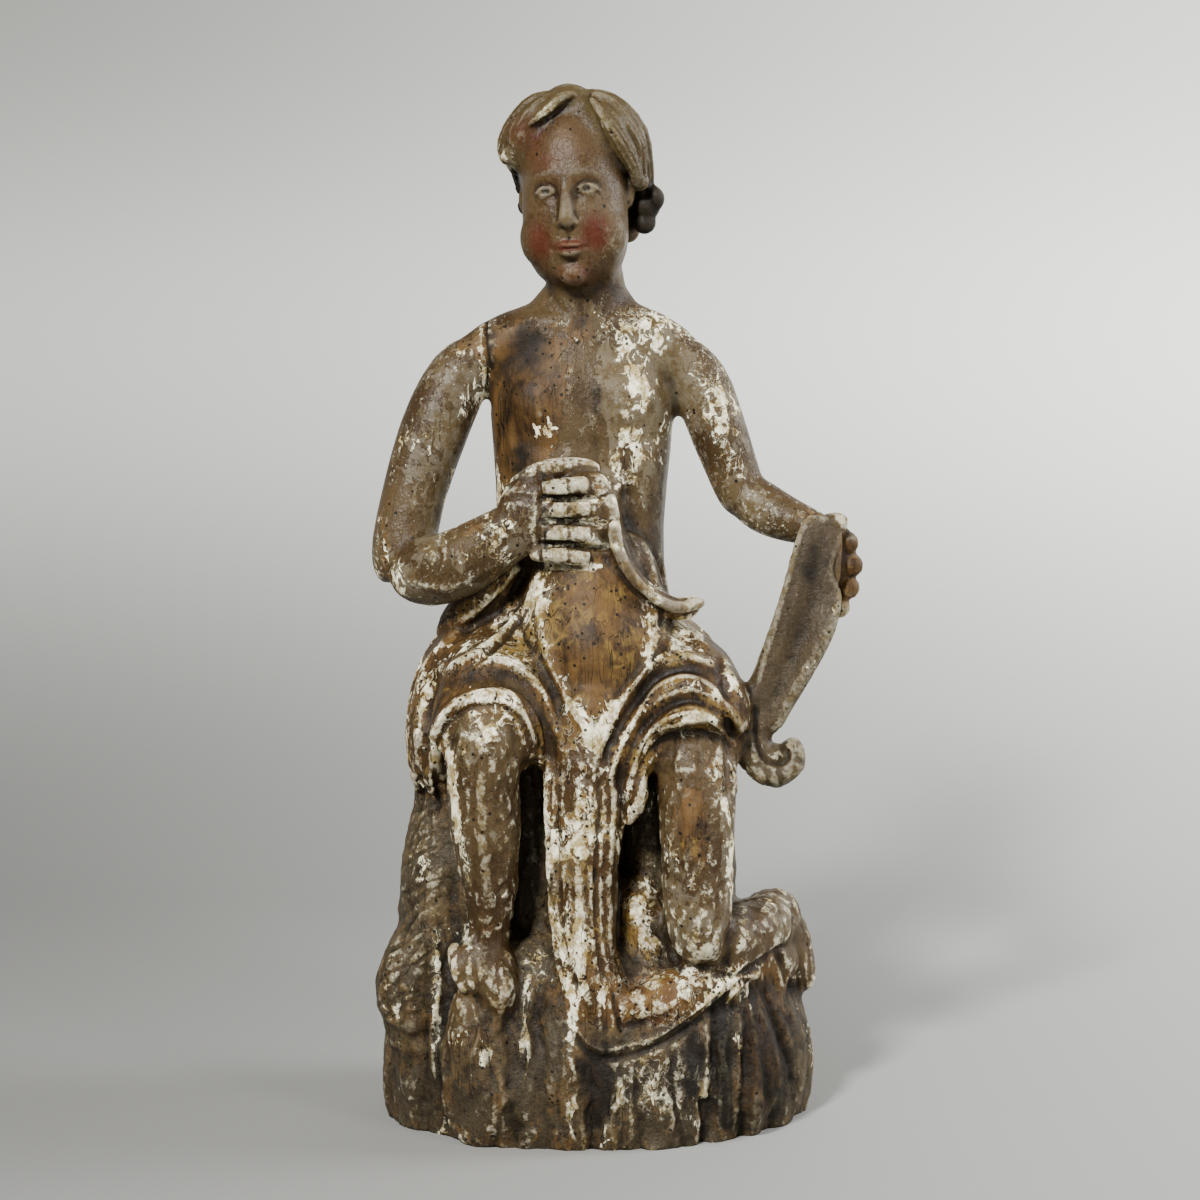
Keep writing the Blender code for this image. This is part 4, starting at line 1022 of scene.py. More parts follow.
    def kneeling_folds(self, surface: Surface) -> None:
        """The thin hem and the worn surface of the cloth spread under the kneeling leg."""
        surface.strokes(reach=0, rows=(
            (((-12, 70), (-4, 60), (6, 57), (26, 60), (46, 67), (64, 78), (90, 98), (106, 106)), 3.6, -2.6),
            (UNDER_HEM, 1.8, 2.2, 3),
            (((14, 76), (30, 78), (46, 84), (62, 96)), 5, -1.8),
            (((10, 104), (12, 86), (16, 72)), 2.4, -2.0),
        ))
        for x, z, wide, tall, lift in ((24, 142, 7, 9, 1.6), (36, 128, 6, 8, -2.2), (22, 118, 6, 10, -2.0),
                                       (34, 104, 9, 6, 1.8), (46, 96, 7, 6, -1.8), (24, 92, 6, 6, 1.2)):
            surface.dab(x, z, wide, tall, lift, reach=0)

    def back_folds(self, surface: Surface) -> None:
        """Plain folds on the sides and the back."""
        stroke = surface.stroke
        for x in (-78, -54, -28, -2, 26, 52, 76):
            stroke(((x * 0.8, 322), (x, 290), (x * 1.05, 256), (x, 226)), 9, 2.6, view=BACK)
        stroke(((-70, 330), (-30, 322), (12, 318), (50, 322), (72, 332)), 6, 3.5, view=BACK)
        stroke(((-74, 322), (-30, 313), (12, 309), (50, 313), (76, 324)), 4, -2.5, view=BACK)
        for side in (90, -90):
            flank = Frame(turn=math.radians(side))
            for x in (-34, -12, 12, 34):
                stroke(((x * 0.9, 306), (x, 280), (x * 1.1, 250), (x, 226)), 7, 2.2, reach=-40, view=flank)

    def sash(self, surface: Surface) -> None:
        """Sets the belly back from the rolled edge of the cloth, and raises the roll up to its knob."""
        surface.stroke(((20, 394), (26, 366), (38, 346), (54, 336), (64, 338)), 9, -7, reach=0, fade=0.2)
        surface.stroke(((8, 392), (13, 362), (24, 342), (38, 330), (52, 325), (64, 327)), 4.2, 6.5, reach=0,
                       fade=0.15)
        surface.stroke(((4, 372), (16, 346), (30, 332), (48, 318)), 3.0, -1.6, reach=0)


@dataclass
class Head(Part):
    """Skull and face, calm and evenly proportioned, drawn in the head's own frame."""

    zone: ClassVar[Zone] = Zone.FACE
    half_width: float = 33.5
    eye: float = 13.2  # from the middle line
    eye_level: float = -1.6
    lid: float = 1.45  # half thickness
    mouth: float = -35.5  # height of the line between the lips
    lips: float = 10.0  # half width

    def block(self, carving: Carving) -> None:
        """Adds skull, cheeks and chin."""
        carving.frame = HEAD
        wide = self.half_width
        carving.form((0, -2, 46, wide - 4, 26), (0, -5, 22, wide - 1, 29), (0, -6, 0, wide, 30),
                     (0, -7, -20, wide, 30), (0, -9, -38, wide - 1, 28), (0, -11, -52, 27, 24),
                     (0, -13, -60, 18, 18), full=0.35)
        for side in (-1, 1):
            carving.ball(18 * side, -19.0, -28, 16, 13.5, 19)
        carving.ball(0, -26.5, -50, 10, 8.5, 9)
        carving.frame = WHOLE

    def sockets(self, surface: Surface) -> None:
        """Presses in the eye sockets and the temples before the features are added."""
        dab = surface.dab
        surface.refresh()
        for side in (-1, 1):
            dab(self.eye * side, self.eye_level, 8.0, 5.4, -4.2, reach=-12, view=HEAD)
            dab(6.5 * side, -4, 3.6, 9, -1.6, reach=-12, view=HEAD)
            dab(28 * side, 12, 6, 10, -1.2, reach=-5, view=HEAD)
            surface.stroke(((3 * side, 9.5), (11 * side, 11.5), (22 * side, 8)), 4, 1.1, reach=-12, view=HEAD)
        dab(0, -44.5, 9, 3.2, -1.6, reach=-12, view=HEAD)

    def detail(self, carving: Carving) -> None:
        """Adds nose, eyeballs, lids, lips and ears."""
        form = carving.form
        carving.frame = HEAD
        lid, eye, level = self.lid, self.eye, self.eye_level
        form((0, -31.6, 8, 3.6, 3.6), (0, -33.4, -1, 3.5, 4), (0, -36.8, -11, 4.2, 4.8),
             (0, -39.0, -18, 5.0, 5.0), (0, -36.2, -22.4, 4.4, 4.2), full=0.5)
        for side in (-1, 1):
            carving.ball(5.4 * side, -35, -20, 3.3, 3.9, 3.0)
            carving.ball(eye * side, -25.4, level - 0.6, 7.4, 8.0, 6.6)
            form(((eye - 7.4) * side, -30.6, level - 2.4, lid * 0.8),
                 ((eye - 3.8) * side, -32.0, level + 2.2, lid), (eye * side, -32.4, level + 3.6, lid * 1.1),
                 ((eye + 4.2) * side, -30.9, level + 2.2, lid),
                 ((eye + 8.2) * side, -27.2, level - 1.8, lid * 0.8), full=0.3)
            form(((eye - 6.6) * side, -30.2, level - 3.0, lid * 0.7),
                 (eye * side, -31.6, level - 5.2, lid * 0.8),
                 ((eye + 7.0) * side, -27.8, level - 2.6, lid * 0.7), full=0.3)
            # ears, half under the hair
            form((32.5 * side, 4, 6, 3.2, 4.5), (34 * side, 3, -2, 3.2, 5.5), (33 * side, 1, -12, 3, 4.5),
                 full=0.6)
        mouth, lips = self.mouth, self.lips
        form((-lips, -33.4, mouth + 0.6, 1.2, 1.6), (-3.4, -36.4, mouth + 2.1, 2.2, 2.6),
             (0, -36.6, mouth + 1.4, 1.9, 2.7), (3.4, -36.4, mouth + 2.1, 2.2, 2.6),
             (lips, -33.4, mouth + 0.6, 1.2, 1.6), full=0.35)
        form((-lips + 1.8, -33.8, mouth - 1.4, 1.4, 1.6), (0, -36.2, mouth - 2.8, 2.7, 2.7),
             (lips - 1.8, -33.8, mouth - 1.4, 1.4, 1.6), full=0.35)
        carving.frame = WHOLE

    def chisel(self, surface: Surface) -> None:
        """Cuts the creases of lids and lips, the nostrils and the hollow above the lip."""
        dab = surface.dab
        surface.refresh()
        eye, level, mouth, lips = self.eye, self.eye_level, self.mouth, self.lips
        for side in (-1, 1):
            surface.strokes(reach=-12, view=HEAD, rows=(
                ((((eye - 7) * side, level + 1), ((eye - 3) * side, level + 6.0),
                  ((eye + 3) * side, level + 6.2), ((eye + 8.5) * side, level + 1)), 1.7, -1.1),
                ((((eye - 6.2) * side, level - 2.2), ((eye - 3) * side, level + 0.6),
                  (eye * side, level + 1.6), ((eye + 4) * side, level + 0.6), ((eye + 7) * side, level - 2)),
                 1.2, -0.9),
                ((((eye - 6) * side, level - 6.6), (eye * side, level - 8.4),
                  ((eye + 6) * side, level - 6.6)), 2, -0.5),
            ))
            dab(3.0 * side, -23.4, 1.4, 1.0, -1.4, reach=-20, view=HEAD)
            surface.stroke(((5.4 * side, -13), (7.6 * side, -18), (7.4 * side, -22.5)), 1.8, -1.0, reach=-15,
                           view=HEAD)
            surface.stroke(((9 * side, -23), (12.5 * side, -29), (12.5 * side, -35)), 2.4, -0.5, reach=-15,
                           view=HEAD)
            dab((lips + 1.2) * side, mouth + 0.2, 1.8, 1.8, -0.9, reach=-15, view=HEAD)
        surface.stroke(((-lips, mouth), (-3, mouth - 0.2), (0, mouth - 0.7), (3, mouth - 0.2), (lips, mouth)),
                       1.4, -1.5, reach=-20, view=HEAD)
        dab(0, mouth + 7.2, 2.0, 3.4, -1.0, reach=-20, view=HEAD)
        dab(0, mouth - 7.8, 6, 2.2, -1.0, reach=-20, view=HEAD)
        dab(0, mouth - 15, 6, 5, 0.7, reach=-20, view=HEAD)


# x, y, z and half width of each curl, in the head's frame
CURLS = ((42, 16, -12, 9), (40, 16, -22, 7.5), (-35, 13, 6, 6), (-34, 14, -6, 6.5), (-39, -9, 25, 6.5),
         (41, 1, 3, 6), (27, 27, -26, 8), (-25, 27, -26, 8), (2, 35, -30, 9))


@dataclass
class Hair(Part):
    """Short thick locks swept back from the forehead, and curls at the temple and the nape."""

    zone: ClassVar[Zone] = Zone.HAIR
    strand: float = 1.5  # half width of the groove between strands
    depth: float = 1.7
    strands: int = 11  # round each lock

    def locks(self) -> list[tuple[Row, ...]]:
        """The rows of every lock, in the head's frame."""
        found: list[tuple[Row, ...]] = [
            # viewer's right: waves from the parting down to the ear
            ((17, -20, 55, 2.5), (23, -21, 46, 4.5), (29, -19, 35, 6), (35, -13, 22, 6.5), (40, -7, 9, 5.5),
             (39, -2, 0, 4)),
            ((17, -12, 58, 4), (28, -12, 50, 6), (34, -9, 38, 7.5), (41, -4, 24, 7), (40, 2, 10, 7),
             (43, 6, -2, 5)),
            ((12, -3, 60, 5), (28, -2, 51, 7.5), (40, 4, 34, 8), (41, 10, 16, 8.5), (42, 13, 2, 7),
             (38, 15, -8, 5)),
            ((8, 8, 57, 8), (27, 12, 48, 9), (38, 20, 28, 9), (36, 25, 8, 8), (33, 28, -10, 7)),
            # viewer's left: flat wisps over the brow, then a curl that stands out above the temple
            ((7, -15, 59, 3), (-2, -19.5, 56, 4.5), (-10, -22.5, 50, 4.2), (-17, -23.5, 45, 3.6),
             (-24, -21, 41, 2.8)),
            ((-4, -14, 60, 3), (-15, -18, 54, 4.5), (-23, -20, 47, 4.5), (-30, -18.5, 38, 3.6),
             (-32, -16, 30, 2.6)),
            ((-6, -8, 60, 5), (-20, -10, 55, 7), (-31, -10, 45, 7), (-38, -9, 36, 6.5), (-41, -8, 28, 6),
             (-37, -10, 20, 5)),
            ((-6, 2, 60, 6), (-22, 1, 54, 8), (-34, 3, 41, 8), (-39, 5, 27, 7.5), (-37, 8, 14, 6.5)),
            ((-6, 12, 58, 8), (-25, 13, 49, 9), (-36, 18, 30, 9), (-36, 21, 12, 8), (-34, 23, -2, 7)),
        ]
        # back of the head: locks that fall from the crown to the nape
        for angle in (-64, -40, -14, 12, 38, 62):
            sine, cosine = math.sin(math.radians(angle)), math.cos(math.radians(angle))
            found.append(((6 * sine, 14 + 6 * cosine, 55, 8), (27 * sine, 15 + 24 * cosine, 44, 9),
                          (36 * sine + 3, 15 + 32 * cosine, 18, 9.5), (35 * sine, 14 + 31 * cosine, -10, 9),
                          (28 * sine - 2, 11 + 27 * cosine, -25, 8)))
        return found

    def block(self, carving: Carving) -> None:
        """Adds the mass of the hair."""
        carving.frame = HEAD
        carving.form((0, 14, -44, 24, 28), (0, 14, -10, 34, 34), (0, 14, 20, 38.5, 39), (0, 12, 48, 28, 30),
                     full=0.5)
        carving.form((-14, -3, 49, 14, 14), (0, -4, 51.5, 15, 13), (16, -3, 48, 14, 14), full=0.6)
        for side in (-1, 1):
            carving.form((14 * side, -14, 50, 8), (25 * side, -15, 42, 9), (31 * side, -12, 30, 8.5),
                         (34 * side, -8, 15, 7), full=0.5)
        carving.frame = WHOLE

    def detail(self, carving: Carving) -> None:
        """Adds the locks and the curls."""
        carving.frame = HEAD
        for lock in self.locks():
            carving.form(*lock, full=0.4)
        for x, y, z, size in CURLS:
            carving.ball(x, y, z, size)
        carving.form((44, 13, 1, 3.5, 5), (50, 12, -7, 4.5, 6), (49, 14, -15, 3, 4), full=0.5)
        carving.frame = WHOLE

    def chisel(self, surface: Surface) -> None:
        """Cuts the strands along every lock and the coils of the curls."""
        surface.refresh()
        for number, lock in enumerate(self.locks()):
            for step in range(self.strands):
                deep = self.depth * (0.5 + 0.5 * ((step * 7 + number * 3) % 5) / 4)
                surface.follow(line_on(lock, 360 * step / self.strands + 13 * number, HEAD), self.strand,
                               -deep)
        for x, y, z, size in CURLS:
            turns = np.linspace(0, 3.4 * math.pi, 60)
            radius = size * (0.95 - 0.5 * turns / turns[-1])
            for view in (1, -1):
                level = np.full_like(turns, y - view * size * 0.5)
                coil = np.column_stack([x + radius * np.cos(turns), level, z + radius * np.sin(turns)])
                surface.follow(HEAD.outward(coil), 1.5, -1.3)


@dataclass(frozen=True)
class Patch:
    """A soft oval of paint or of loss, as seen from one side of the figure; a few dark ones lay painted shade
    in the hollows of folds.
    """

    layer: Layer
    x: float
    z: float
    wide: float  # half width in mm
    tall: float  # half height
    amount: float
    tilt: float = 0.0  # clockwise, in degrees
    y_most: float = 30.0  # the deepest y that it reaches
    y_least: float = -200.0
    view: Frame = WHOLE

    def spread(self, points: Array, normals: Array) -> Array:
        """The amount it adds at each point.

        Args:
            points: places on the surface.
            normals: the surface's normals there.

        Returns:
            One value for each point.
        """
        seen, facing = self.view.inward(points), -(normals @ self.view.matrix())[:, 1]
        angle = math.radians(self.tilt)
        across, up = seen[:, 0] - self.x, seen[:, 2] - self.z
        u = across * math.cos(angle) - up * math.sin(angle)
        v = across * math.sin(angle) + up * math.cos(angle)
        away = (u / self.wide) ** 2 + (v / self.tall) ** 2
        inside = (seen[:, 1] < self.y_most) & (seen[:, 1] > self.y_least)
        return self.amount * np.exp(-1.2 * away**1.5) * inside * ((facing + 0.3) * 3).clip(0, 1)


@dataclass(frozen=True)
class Trail:
    """A line of paint, of loss or of dirt, as seen from the front; the dark ones along the hollows of the
    folds are painted shade.
    """

    layer: Layer
    wide: float  # half width in mm
    amount: float
    route: tuple[tuple[float, float], ...]
    y_most: float = 30.0

    def spread(self, points: Array, normals: Array) -> Array:
        """The amount it adds at each point, like a patch."""
        gap, _ = distance_to(np.array(self.route, float), points[:, [0, 2]])
        facing = ((0.3 - normals[:, 1]) * 3).clip(0, 1)
        return self.amount * np.exp(-1.0 * (gap / self.wide) ** 3) * facing * (points[:, 1] < self.y_most)


FLESH, GROUND, OCHRE, RED, DARK, GREY = Layer

# how much of each coat a kind of surface bears, in the order of Layer
BASE_COATS: dict[Zone, Row] = {
    Zone.SKIN: (0.74, 0.30, 0.0, 0.0, 0.20, 0.30),
    Zone.FACE: (0.95, 0.17, 0.05, 0.20, 0.16, 0.12),
    Zone.CLOTH: (0.44, 0.31, 0.30, 0.0, 0.36, 0.22),
    Zone.SCROLL: (0.72, 0.16, 0.0, 0.0, 0.40, 0.90),
    Zone.HAIR: (0.86, 0.16, 0.22, 0.12, 0.30, 0.28),
    Zone.ROCK: (0.50, 0.18, 0.0, 0.0, 0.42, 0.62),
}

# layer, x, z, half width, half height and amount, then tilt, deepest y and least y where given
HEAD_PATCHES = tuple(Patch(*row, view=HEAD) for row in (
    (RED, 17, -27, 10, 13, 0.75), (RED, -19, -30, 9, 14, 0.55),
    (RED, 0, -52, 15, 8, 0.45), (RED, -14, 17, 16, 9, 0.35),
    (RED, 4, 30, 14, 12, 0.22), (RED, 0, -35.5, 9, 3.4, 0.5),
    (DARK, 30, -4, 8, 26, 0.18), (OCHRE, 26, 2, 12, 24, 0.3),
    (OCHRE, 0, -16, 6, 12, 0.3), (GROUND, 20, 40, 9, 5, 0.22, 50),
    (OCHRE, 26, 30, 12, 22, 0.5, 30), (FLESH, 26, 30, 10, 18, -0.12),
    (OCHRE, -8, 51, 12, 4, 0.7, -30), (GROUND, -10, 49, 9, 3, 0.3, -30),
    (RED, -26, 36, 14, 14, 0.4), (GROUND, -40, 24, 6, 10, 0.3),
    (FLESH, -40, 24, 5, 9, -0.3), (DARK, 46, -15, 13, 17, 1.6, 0, 60, 4),
    (DARK, -38, 0, 10, 18, 1.4, 0, 60, 2),
))
BODY_PATCHES = tuple(Patch(*row) for row in (
    # neck and throat
    (DARK, 4, 520, 20, 14, 0.25), (FLESH, -6, 500, 14, 14, -0.35), (GREY, 8, 505, 12, 18, 0.45),
    (DARK, -4, 514, 26, 20, 0.2), (GROUND, -22, 508, 8, 8, 0.18), (GROUND, 36, 500, 10, 7, 0.16),
    # chest
    (FLESH, -45, 455, 28, 46, -0.9), (GREY, -45, 455, 30, 46, -0.4), (GROUND, -47, 458, 24, 42, -0.28),
    (DARK, -40, 490, 13, 17, 0.5), (DARK, -46, 456, 26, 52, 0.2), (DARK, -48, 414, 12, 12, 0.6),
    (DARK, -52, 470, 24, 34, 0.15), (FLESH, 2, 448, 18, 44, 0.2), (GROUND, 2, 448, 14, 50, 0.1),
    (GREY, -10, 448, 20, 34, 0.35), (DARK, 1, 454, 5, 15, 0.6), (GROUND, 25, 464, 18, 26, 0.22),
    (FLESH, 20, 420, 11, 20, -0.3), (GROUND, 12, 420, 5, 18, 0.25), (GROUND, 30, 418, 5, 14, 0.2),
    (FLESH, -45, 440, 20, 60, -0.2), (GROUND, -22, 470, 7, 20, 0.14), (GROUND, -30, 440, 6, 24, 0.12),
    (GROUND, 7, 407, 5, 4, 0.5), (GROUND, -72, 460, 5, 20, 0.4),
    # shoulders and arms
    (GROUND, 48, 478, 20, 16, 0.26), (GROUND, 74, 446, 18, 34, 0.34), (FLESH, 76, 446, 12, 22, -0.1),
    (GROUND, 34, 448, 30, 56, 0.3), (FLESH, 34, 448, 30, 56, -0.12), (GROUND, -104, 420, 16, 60, 0.2),
    (GROUND, -92, 470, 12, 12, 0.16), (GROUND, 40, 500, 30, 12, 0.2), (GROUND, 94, 400, 14, 22, 0.16),
    (FLESH, -80, 492, 16, 12, -0.3), (GREY, -110, 420, 12, 40, 0.3), (FLESH, -118, 400, 12, 30, 0.1),
    (GROUND, -101, 370, 6, 20, 0.35), (GROUND, -120, 345, 8, 9, 0.3), (GROUND, -52, 366, 14, 13, 0.34),
    (FLESH, -52, 366, 9, 8, 0.2), (OCHRE, -70, 350, 30, 12, 0.2), (GROUND, 112, 380, 16, 6, 0.14),
    # belly, hands and scroll
    (FLESH, 30, 370, 24, 40, 0.3), (DARK, 30, 370, 24, 40, 0.2), (GREY, 30, 370, 24, 40, 0.25),
    (RED, -10, 380, 22, 30, 0.16), (FLESH, -8, 400, 24, 9, -0.18), (OCHRE, -8, 378, 24, 26, 0.4),
    (GROUND, -14, 380, 22, 26, 0.1), (FLESH, 160, 350, 12, 24, -1.0), (OCHRE, 158, 345, 9, 22, 0.4),
    (GROUND, 160, 350, 11, 22, -0.4), (GREY, 160, 350, 12, 24, -0.8), (DARK, 160, 350, 12, 24, -0.2),
    (DARK, 134, 352, 14, 18, 0.4), (GREY, 108, 250, 14, 22, 0.3), (GROUND, 105, 236, 12, 16, 0.12),
    # the lap and the folds over the knees
    (FLESH, 1, 304, 24, 44, -0.8), (GROUND, 1, 304, 20, 40, -0.5), (GREY, 1, 304, 26, 44, -0.5),
    (OCHRE, 1, 304, 26, 44, 0.15), (RED, 0, 330, 20, 16, 0.12),
    (GROUND, -46, 308, 17, 28, 0.24, 20), (GROUND, 46, 298, 16, 22, 0.24), (OCHRE, -46, 308, 18, 28, 0.3, 20),
    (OCHRE, 46, 298, 16, 24, 0.3), (GROUND, 1, 246, 10, 10, 0.3),
    # painted shade in the hollows of the folds over both knees
    (DARK, -70, 286, 34, 8, 0.25), (DARK, 55, 290, 32, 6, 0.25), (DARK, 50, 270, 32, 6, 0.2),
    (GROUND, -70, 252, 30, 12, 0.16), (GROUND, 50, 250, 30, 8, 0.16), (DARK, -108, 250, 12, 40, 0.1),
    # the cloth that hangs between the legs
    (GROUND, -5, 220, 16, 36, 0.3), (FLESH, -8, 150, 20, 40, 0.1), (OCHRE, -5, 140, 20, 50, 0.2),
    (GREY, -8, 150, 18, 40, 0.3), (GROUND, -14, 122, 10, 40, 0.2), (RED, -6, 90, 20, 20, 0.1),
    # the planted leg
    (GREY, -66, 262, 20, 12, 0.4), (GROUND, -62, 264, 12, 10, 0.18), (FLESH, -62, 264, 10, 8, -0.3),
    (FLESH, -64, 190, 20, 56, 0.25), (GROUND, -64, 180, 14, 60, -0.1), (GROUND, -84, 206, 5, 44, 0.2, -8),
    (FLESH, -84, 206, 4, 44, -0.2, -8), (GROUND, -77, 114, 12, 22, 0.22), (FLESH, -58, 108, 9, 16, 0.2),
    (RED, -66, 108, 18, 14, 0.12),
    # the kneeling leg
    (GREY, 44, 190, 12, 44, 0.3), (FLESH, 48, 190, 16, 60, 0.1), (GROUND, 60, 140, 20, 34, 0.22),
    (OCHRE, 60, 150, 20, 50, 0.15), (FLESH, 58, 196, 12, 30, -0.7), (OCHRE, 58, 192, 12, 30, 0.3),
    (GROUND, 58, 196, 10, 26, -0.3), (GREY, 58, 196, 10, 26, -0.3), (GROUND, 80, 190, 4, 44, 0.45),
    (GROUND, 62, 138, 16, 30, 0.16), (FLESH, 62, 125, 20, 20, 0.1), (GROUND, 118, 128, 5, 16, 0.4),
    (GROUND, 90, 126, 8, 10, 0.12),
    # hollows beside the legs
    (GREY, -36, 170, 14, 60, 0.5), (DARK, -36, 190, 14, 50, -0.4, 0, 80),
    (DARK, 30, 180, 14, 50, -0.5, 0, 80), (GROUND, -38, 106, 12, 18, 0.3), (GREY, 32, 170, 12, 50, 0.5),
    (GROUND, 30, 132, 10, 20, 0.2),
    # under the knee
    (GROUND, 34, 98, 28, 26, 0.16), (FLESH, 34, 98, 28, 26, -0.1), (RED, 32, 92, 30, 24, 0.45),
    (OCHRE, 30, 100, 28, 30, 0.1),
    # the rock
    (GREY, -108, 160, 20, 50, 0.6), (GROUND, -108, 160, 20, 50, 0.02), (DARK, -108, 160, 20, 50, -0.1),
    (GREY, -116, 80, 24, 50, 0.2), (DARK, -80, 56, 50, 34, 0.12), (FLESH, -70, 30, 60, 26, 0.14),
    (DARK, 60, 56, 8, 20, 0.5), (GROUND, -98, 80, 3, 44, 0.3), (GROUND, -44, 76, 3, 28, 0.3),
    (GROUND, -15, 50, 4, 40, 0.3), (GROUND, -66, 60, 6, 9, 0.5), (RED, 0, 45, 12, 30, 0.35),
    (DARK, 0, 45, 14, 34, 0.45), (GROUND, 0, 45, 14, 30, -0.2), (GROUND, 36, 44, 34, 26, 0.30),
    (RED, 40, 40, 30, 26, 0.2), (DARK, 55, 40, 14, 34, 0.3), (DARK, 30, 30, 30, 20, 0.1),
    (DARK, 76, 50, 5, 36, 0.8), (FLESH, 104, 60, 20, 44, -0.4), (OCHRE, 104, 60, 16, 40, 0.1),
    (GREY, 104, 60, 16, 40, -0.5), (DARK, 106, 50, 26, 46, 0.45), (GROUND, 106, 50, 24, 44, -0.12),
    (GREY, 126, 50, 10, 30, 0.4), (GROUND, -80, 20, 50, 14, 0.06), (GROUND, -70, 60, 60, 34, -0.12),
    (OCHRE, -70, 50, 50, 40, 0.1), (DARK, -116, 84, 26, 44, -0.05), (FLESH, -116, 84, 26, 44, 0.1),
))

# other lines that paint, loss, dirt and painted shade follow, as x and z
LAP_LEFT = ((-36, 344), (-33, 316), (-27, 292), (-13, 266), (0, 245))
LAP_RIGHT = ((34, 336), (35, 316), (30, 292), (16, 266), (1, 245))
KNEE_BAND = ((-100, 260), (-92, 277), (-76, 286), (-58, 287), (-43, 279), (-34, 264), (-30, 244))
THIGH_BAND = ((6, 240), (14, 257), (28, 276), (44, 289), (62, 290), (78, 281), (89, 262))
SHIN_LOSS = ((-87, 240), (-85, 214), (-82, 190), (-76, 164))
THIGH_EDGE = ((73, 231), (79, 200), (81, 170), (83, 144))
LUMP_RIDGE = ((-99, 124), (-98, 90), (-98, 60), (-97, 34))
BLADE = ((-42, 106), (-43, 76), (-42, 48))
WRIST_CRACK = ((-33, 410), (-31, 399), (-32, 380), (-30, 356))
SHOULDER_CRACK = ((-69, 508), (-68, 490), (-66, 474))
ELBOW = ((-128, 356), (-121, 336), (-98, 329), (-72, 338))
INNER_ARM = ((-88, 440), (-94, 410), (-100, 384), (-98, 370))
SASH = ((8, 390), (13, 362), (24, 342), (38, 330), (52, 325))
FINGER_GAPS = tuple(((-31, z), (-8, z), (12, z - 1)) for z in (392.5, 379, 364.5, 351))
ROCK_SPLIT = ((74, 88), (77, 50), (80, 12))

LAPS = (LAP_LEFT, LAP_RIGHT)
CRESTS = (KNEE_RIDGE, KNEE_HEM, THIGH_RIDGE, THIGH_HEM)
# the hollows between the crests of the folds, which the trails darken with painted shade
BANDS = (KNEE_BAND, THIGH_BAND, THIGH_INNER_BAND)
TRAILS = tuple(Trail(layer, wide, amount, route) for layer, wide, amount, routes in (
    (GROUND, 7.0, 0.14, LAPS), (FLESH, 4.0, -0.2, LAPS), (GROUND, 3.0, 0.07, (*CRESTS, UNDER_HEM, BORDER)),
    # the dark trails along the bands are painted shade in the hollows of the folds, which are also kept free
    # of chalk
    (FLESH, 2.0, -0.15, (*CRESTS, BORDER)), (DARK, 5.0, 0.12, BANDS), (GROUND, 5.0, -0.3, BANDS),
    (GROUND, 3.4, 0.24, (SHIN_LOSS, THIGH_EDGE, LUMP_RIDGE, BLADE)),
    (FLESH, 3.0, -0.3, (SHIN_LOSS, THIGH_EDGE)), (DARK, 1.1, 0.8, (WRIST_CRACK, SHOULDER_CRACK)),
    (GROUND, 3.0, 0.35, (ELBOW, INNER_ARM)), (GROUND, 2.2, 0.34, FINGER_GAPS),
    (FLESH, 2.0, -0.5, FINGER_GAPS), (FLESH, 4.0, 0.3, (SASH,)), (GROUND, 4.0, -0.2, (SASH,)),
    (DARK, 4.0, 0.9, (ROCK_SPLIT,)),
) for route in routes)

# the plainer, barer back
BACK_PATCHES = tuple(Patch(layer, 0, z, wide, tall, amount, view=BACK, y_most=90)
                     for layer, z, wide, tall, amount in (
    (FLESH, 420, 110, 110, -0.4), (GREY, 420, 110, 120, 0.3), (FLESH, 130, 140, 140, -0.35),
    (OCHRE, 270, 110, 60, -0.25), (GROUND, 130, 140, 140, -0.2),
))


def nearest(points: Array, places: Iterable[Row]) -> Array:
    """The number of the point that lies nearest to each place."""
    tree = KDTree(len(points))
    for index, point in enumerate(points):
        tree.insert(point, index)
    tree.balance()
    return np.array([tree.find(place)[1] for place in places])


class ZoneMap:
    """Tells for any place what the nearest form was carved as."""

    def __init__(self) -> None:
        """Starts empty."""
        self.points: list[Array] = []
        self.faces: list[list[int]] = []
        self.zones: list[int] = []
        self.count = 0

    def take(self, carving: Carving, skip: int) -> None:
        """Takes over a carving's forms.

        Args:
            carving: the forms.
            skip: how many of its first shells to leave out.
        """
        left_out = sum(len(shell) for shell in carving.points[:skip])
        points = np.vstack(carving.points[skip:])
        for face, zone in zip(carving.faces, carving.zones):
            if face[0] >= left_out:
                self.faces.append([i - left_out + self.count for i in face])
                self.zones.append(zone)
        self.points.append(points)
        self.count += len(points)

    def weights(self, places: Array) -> Array:
        """One row for each place with a 1 in the column of its zone."""
        tree = BVHTree.FromPolygons(np.vstack(self.points).tolist(), self.faces)
        zones = np.array([self.zones[tree.find_nearest(Vector(place))[2]] for place in places])
        return (zones[:, None] == np.arange(len(Zone))).astype(float)


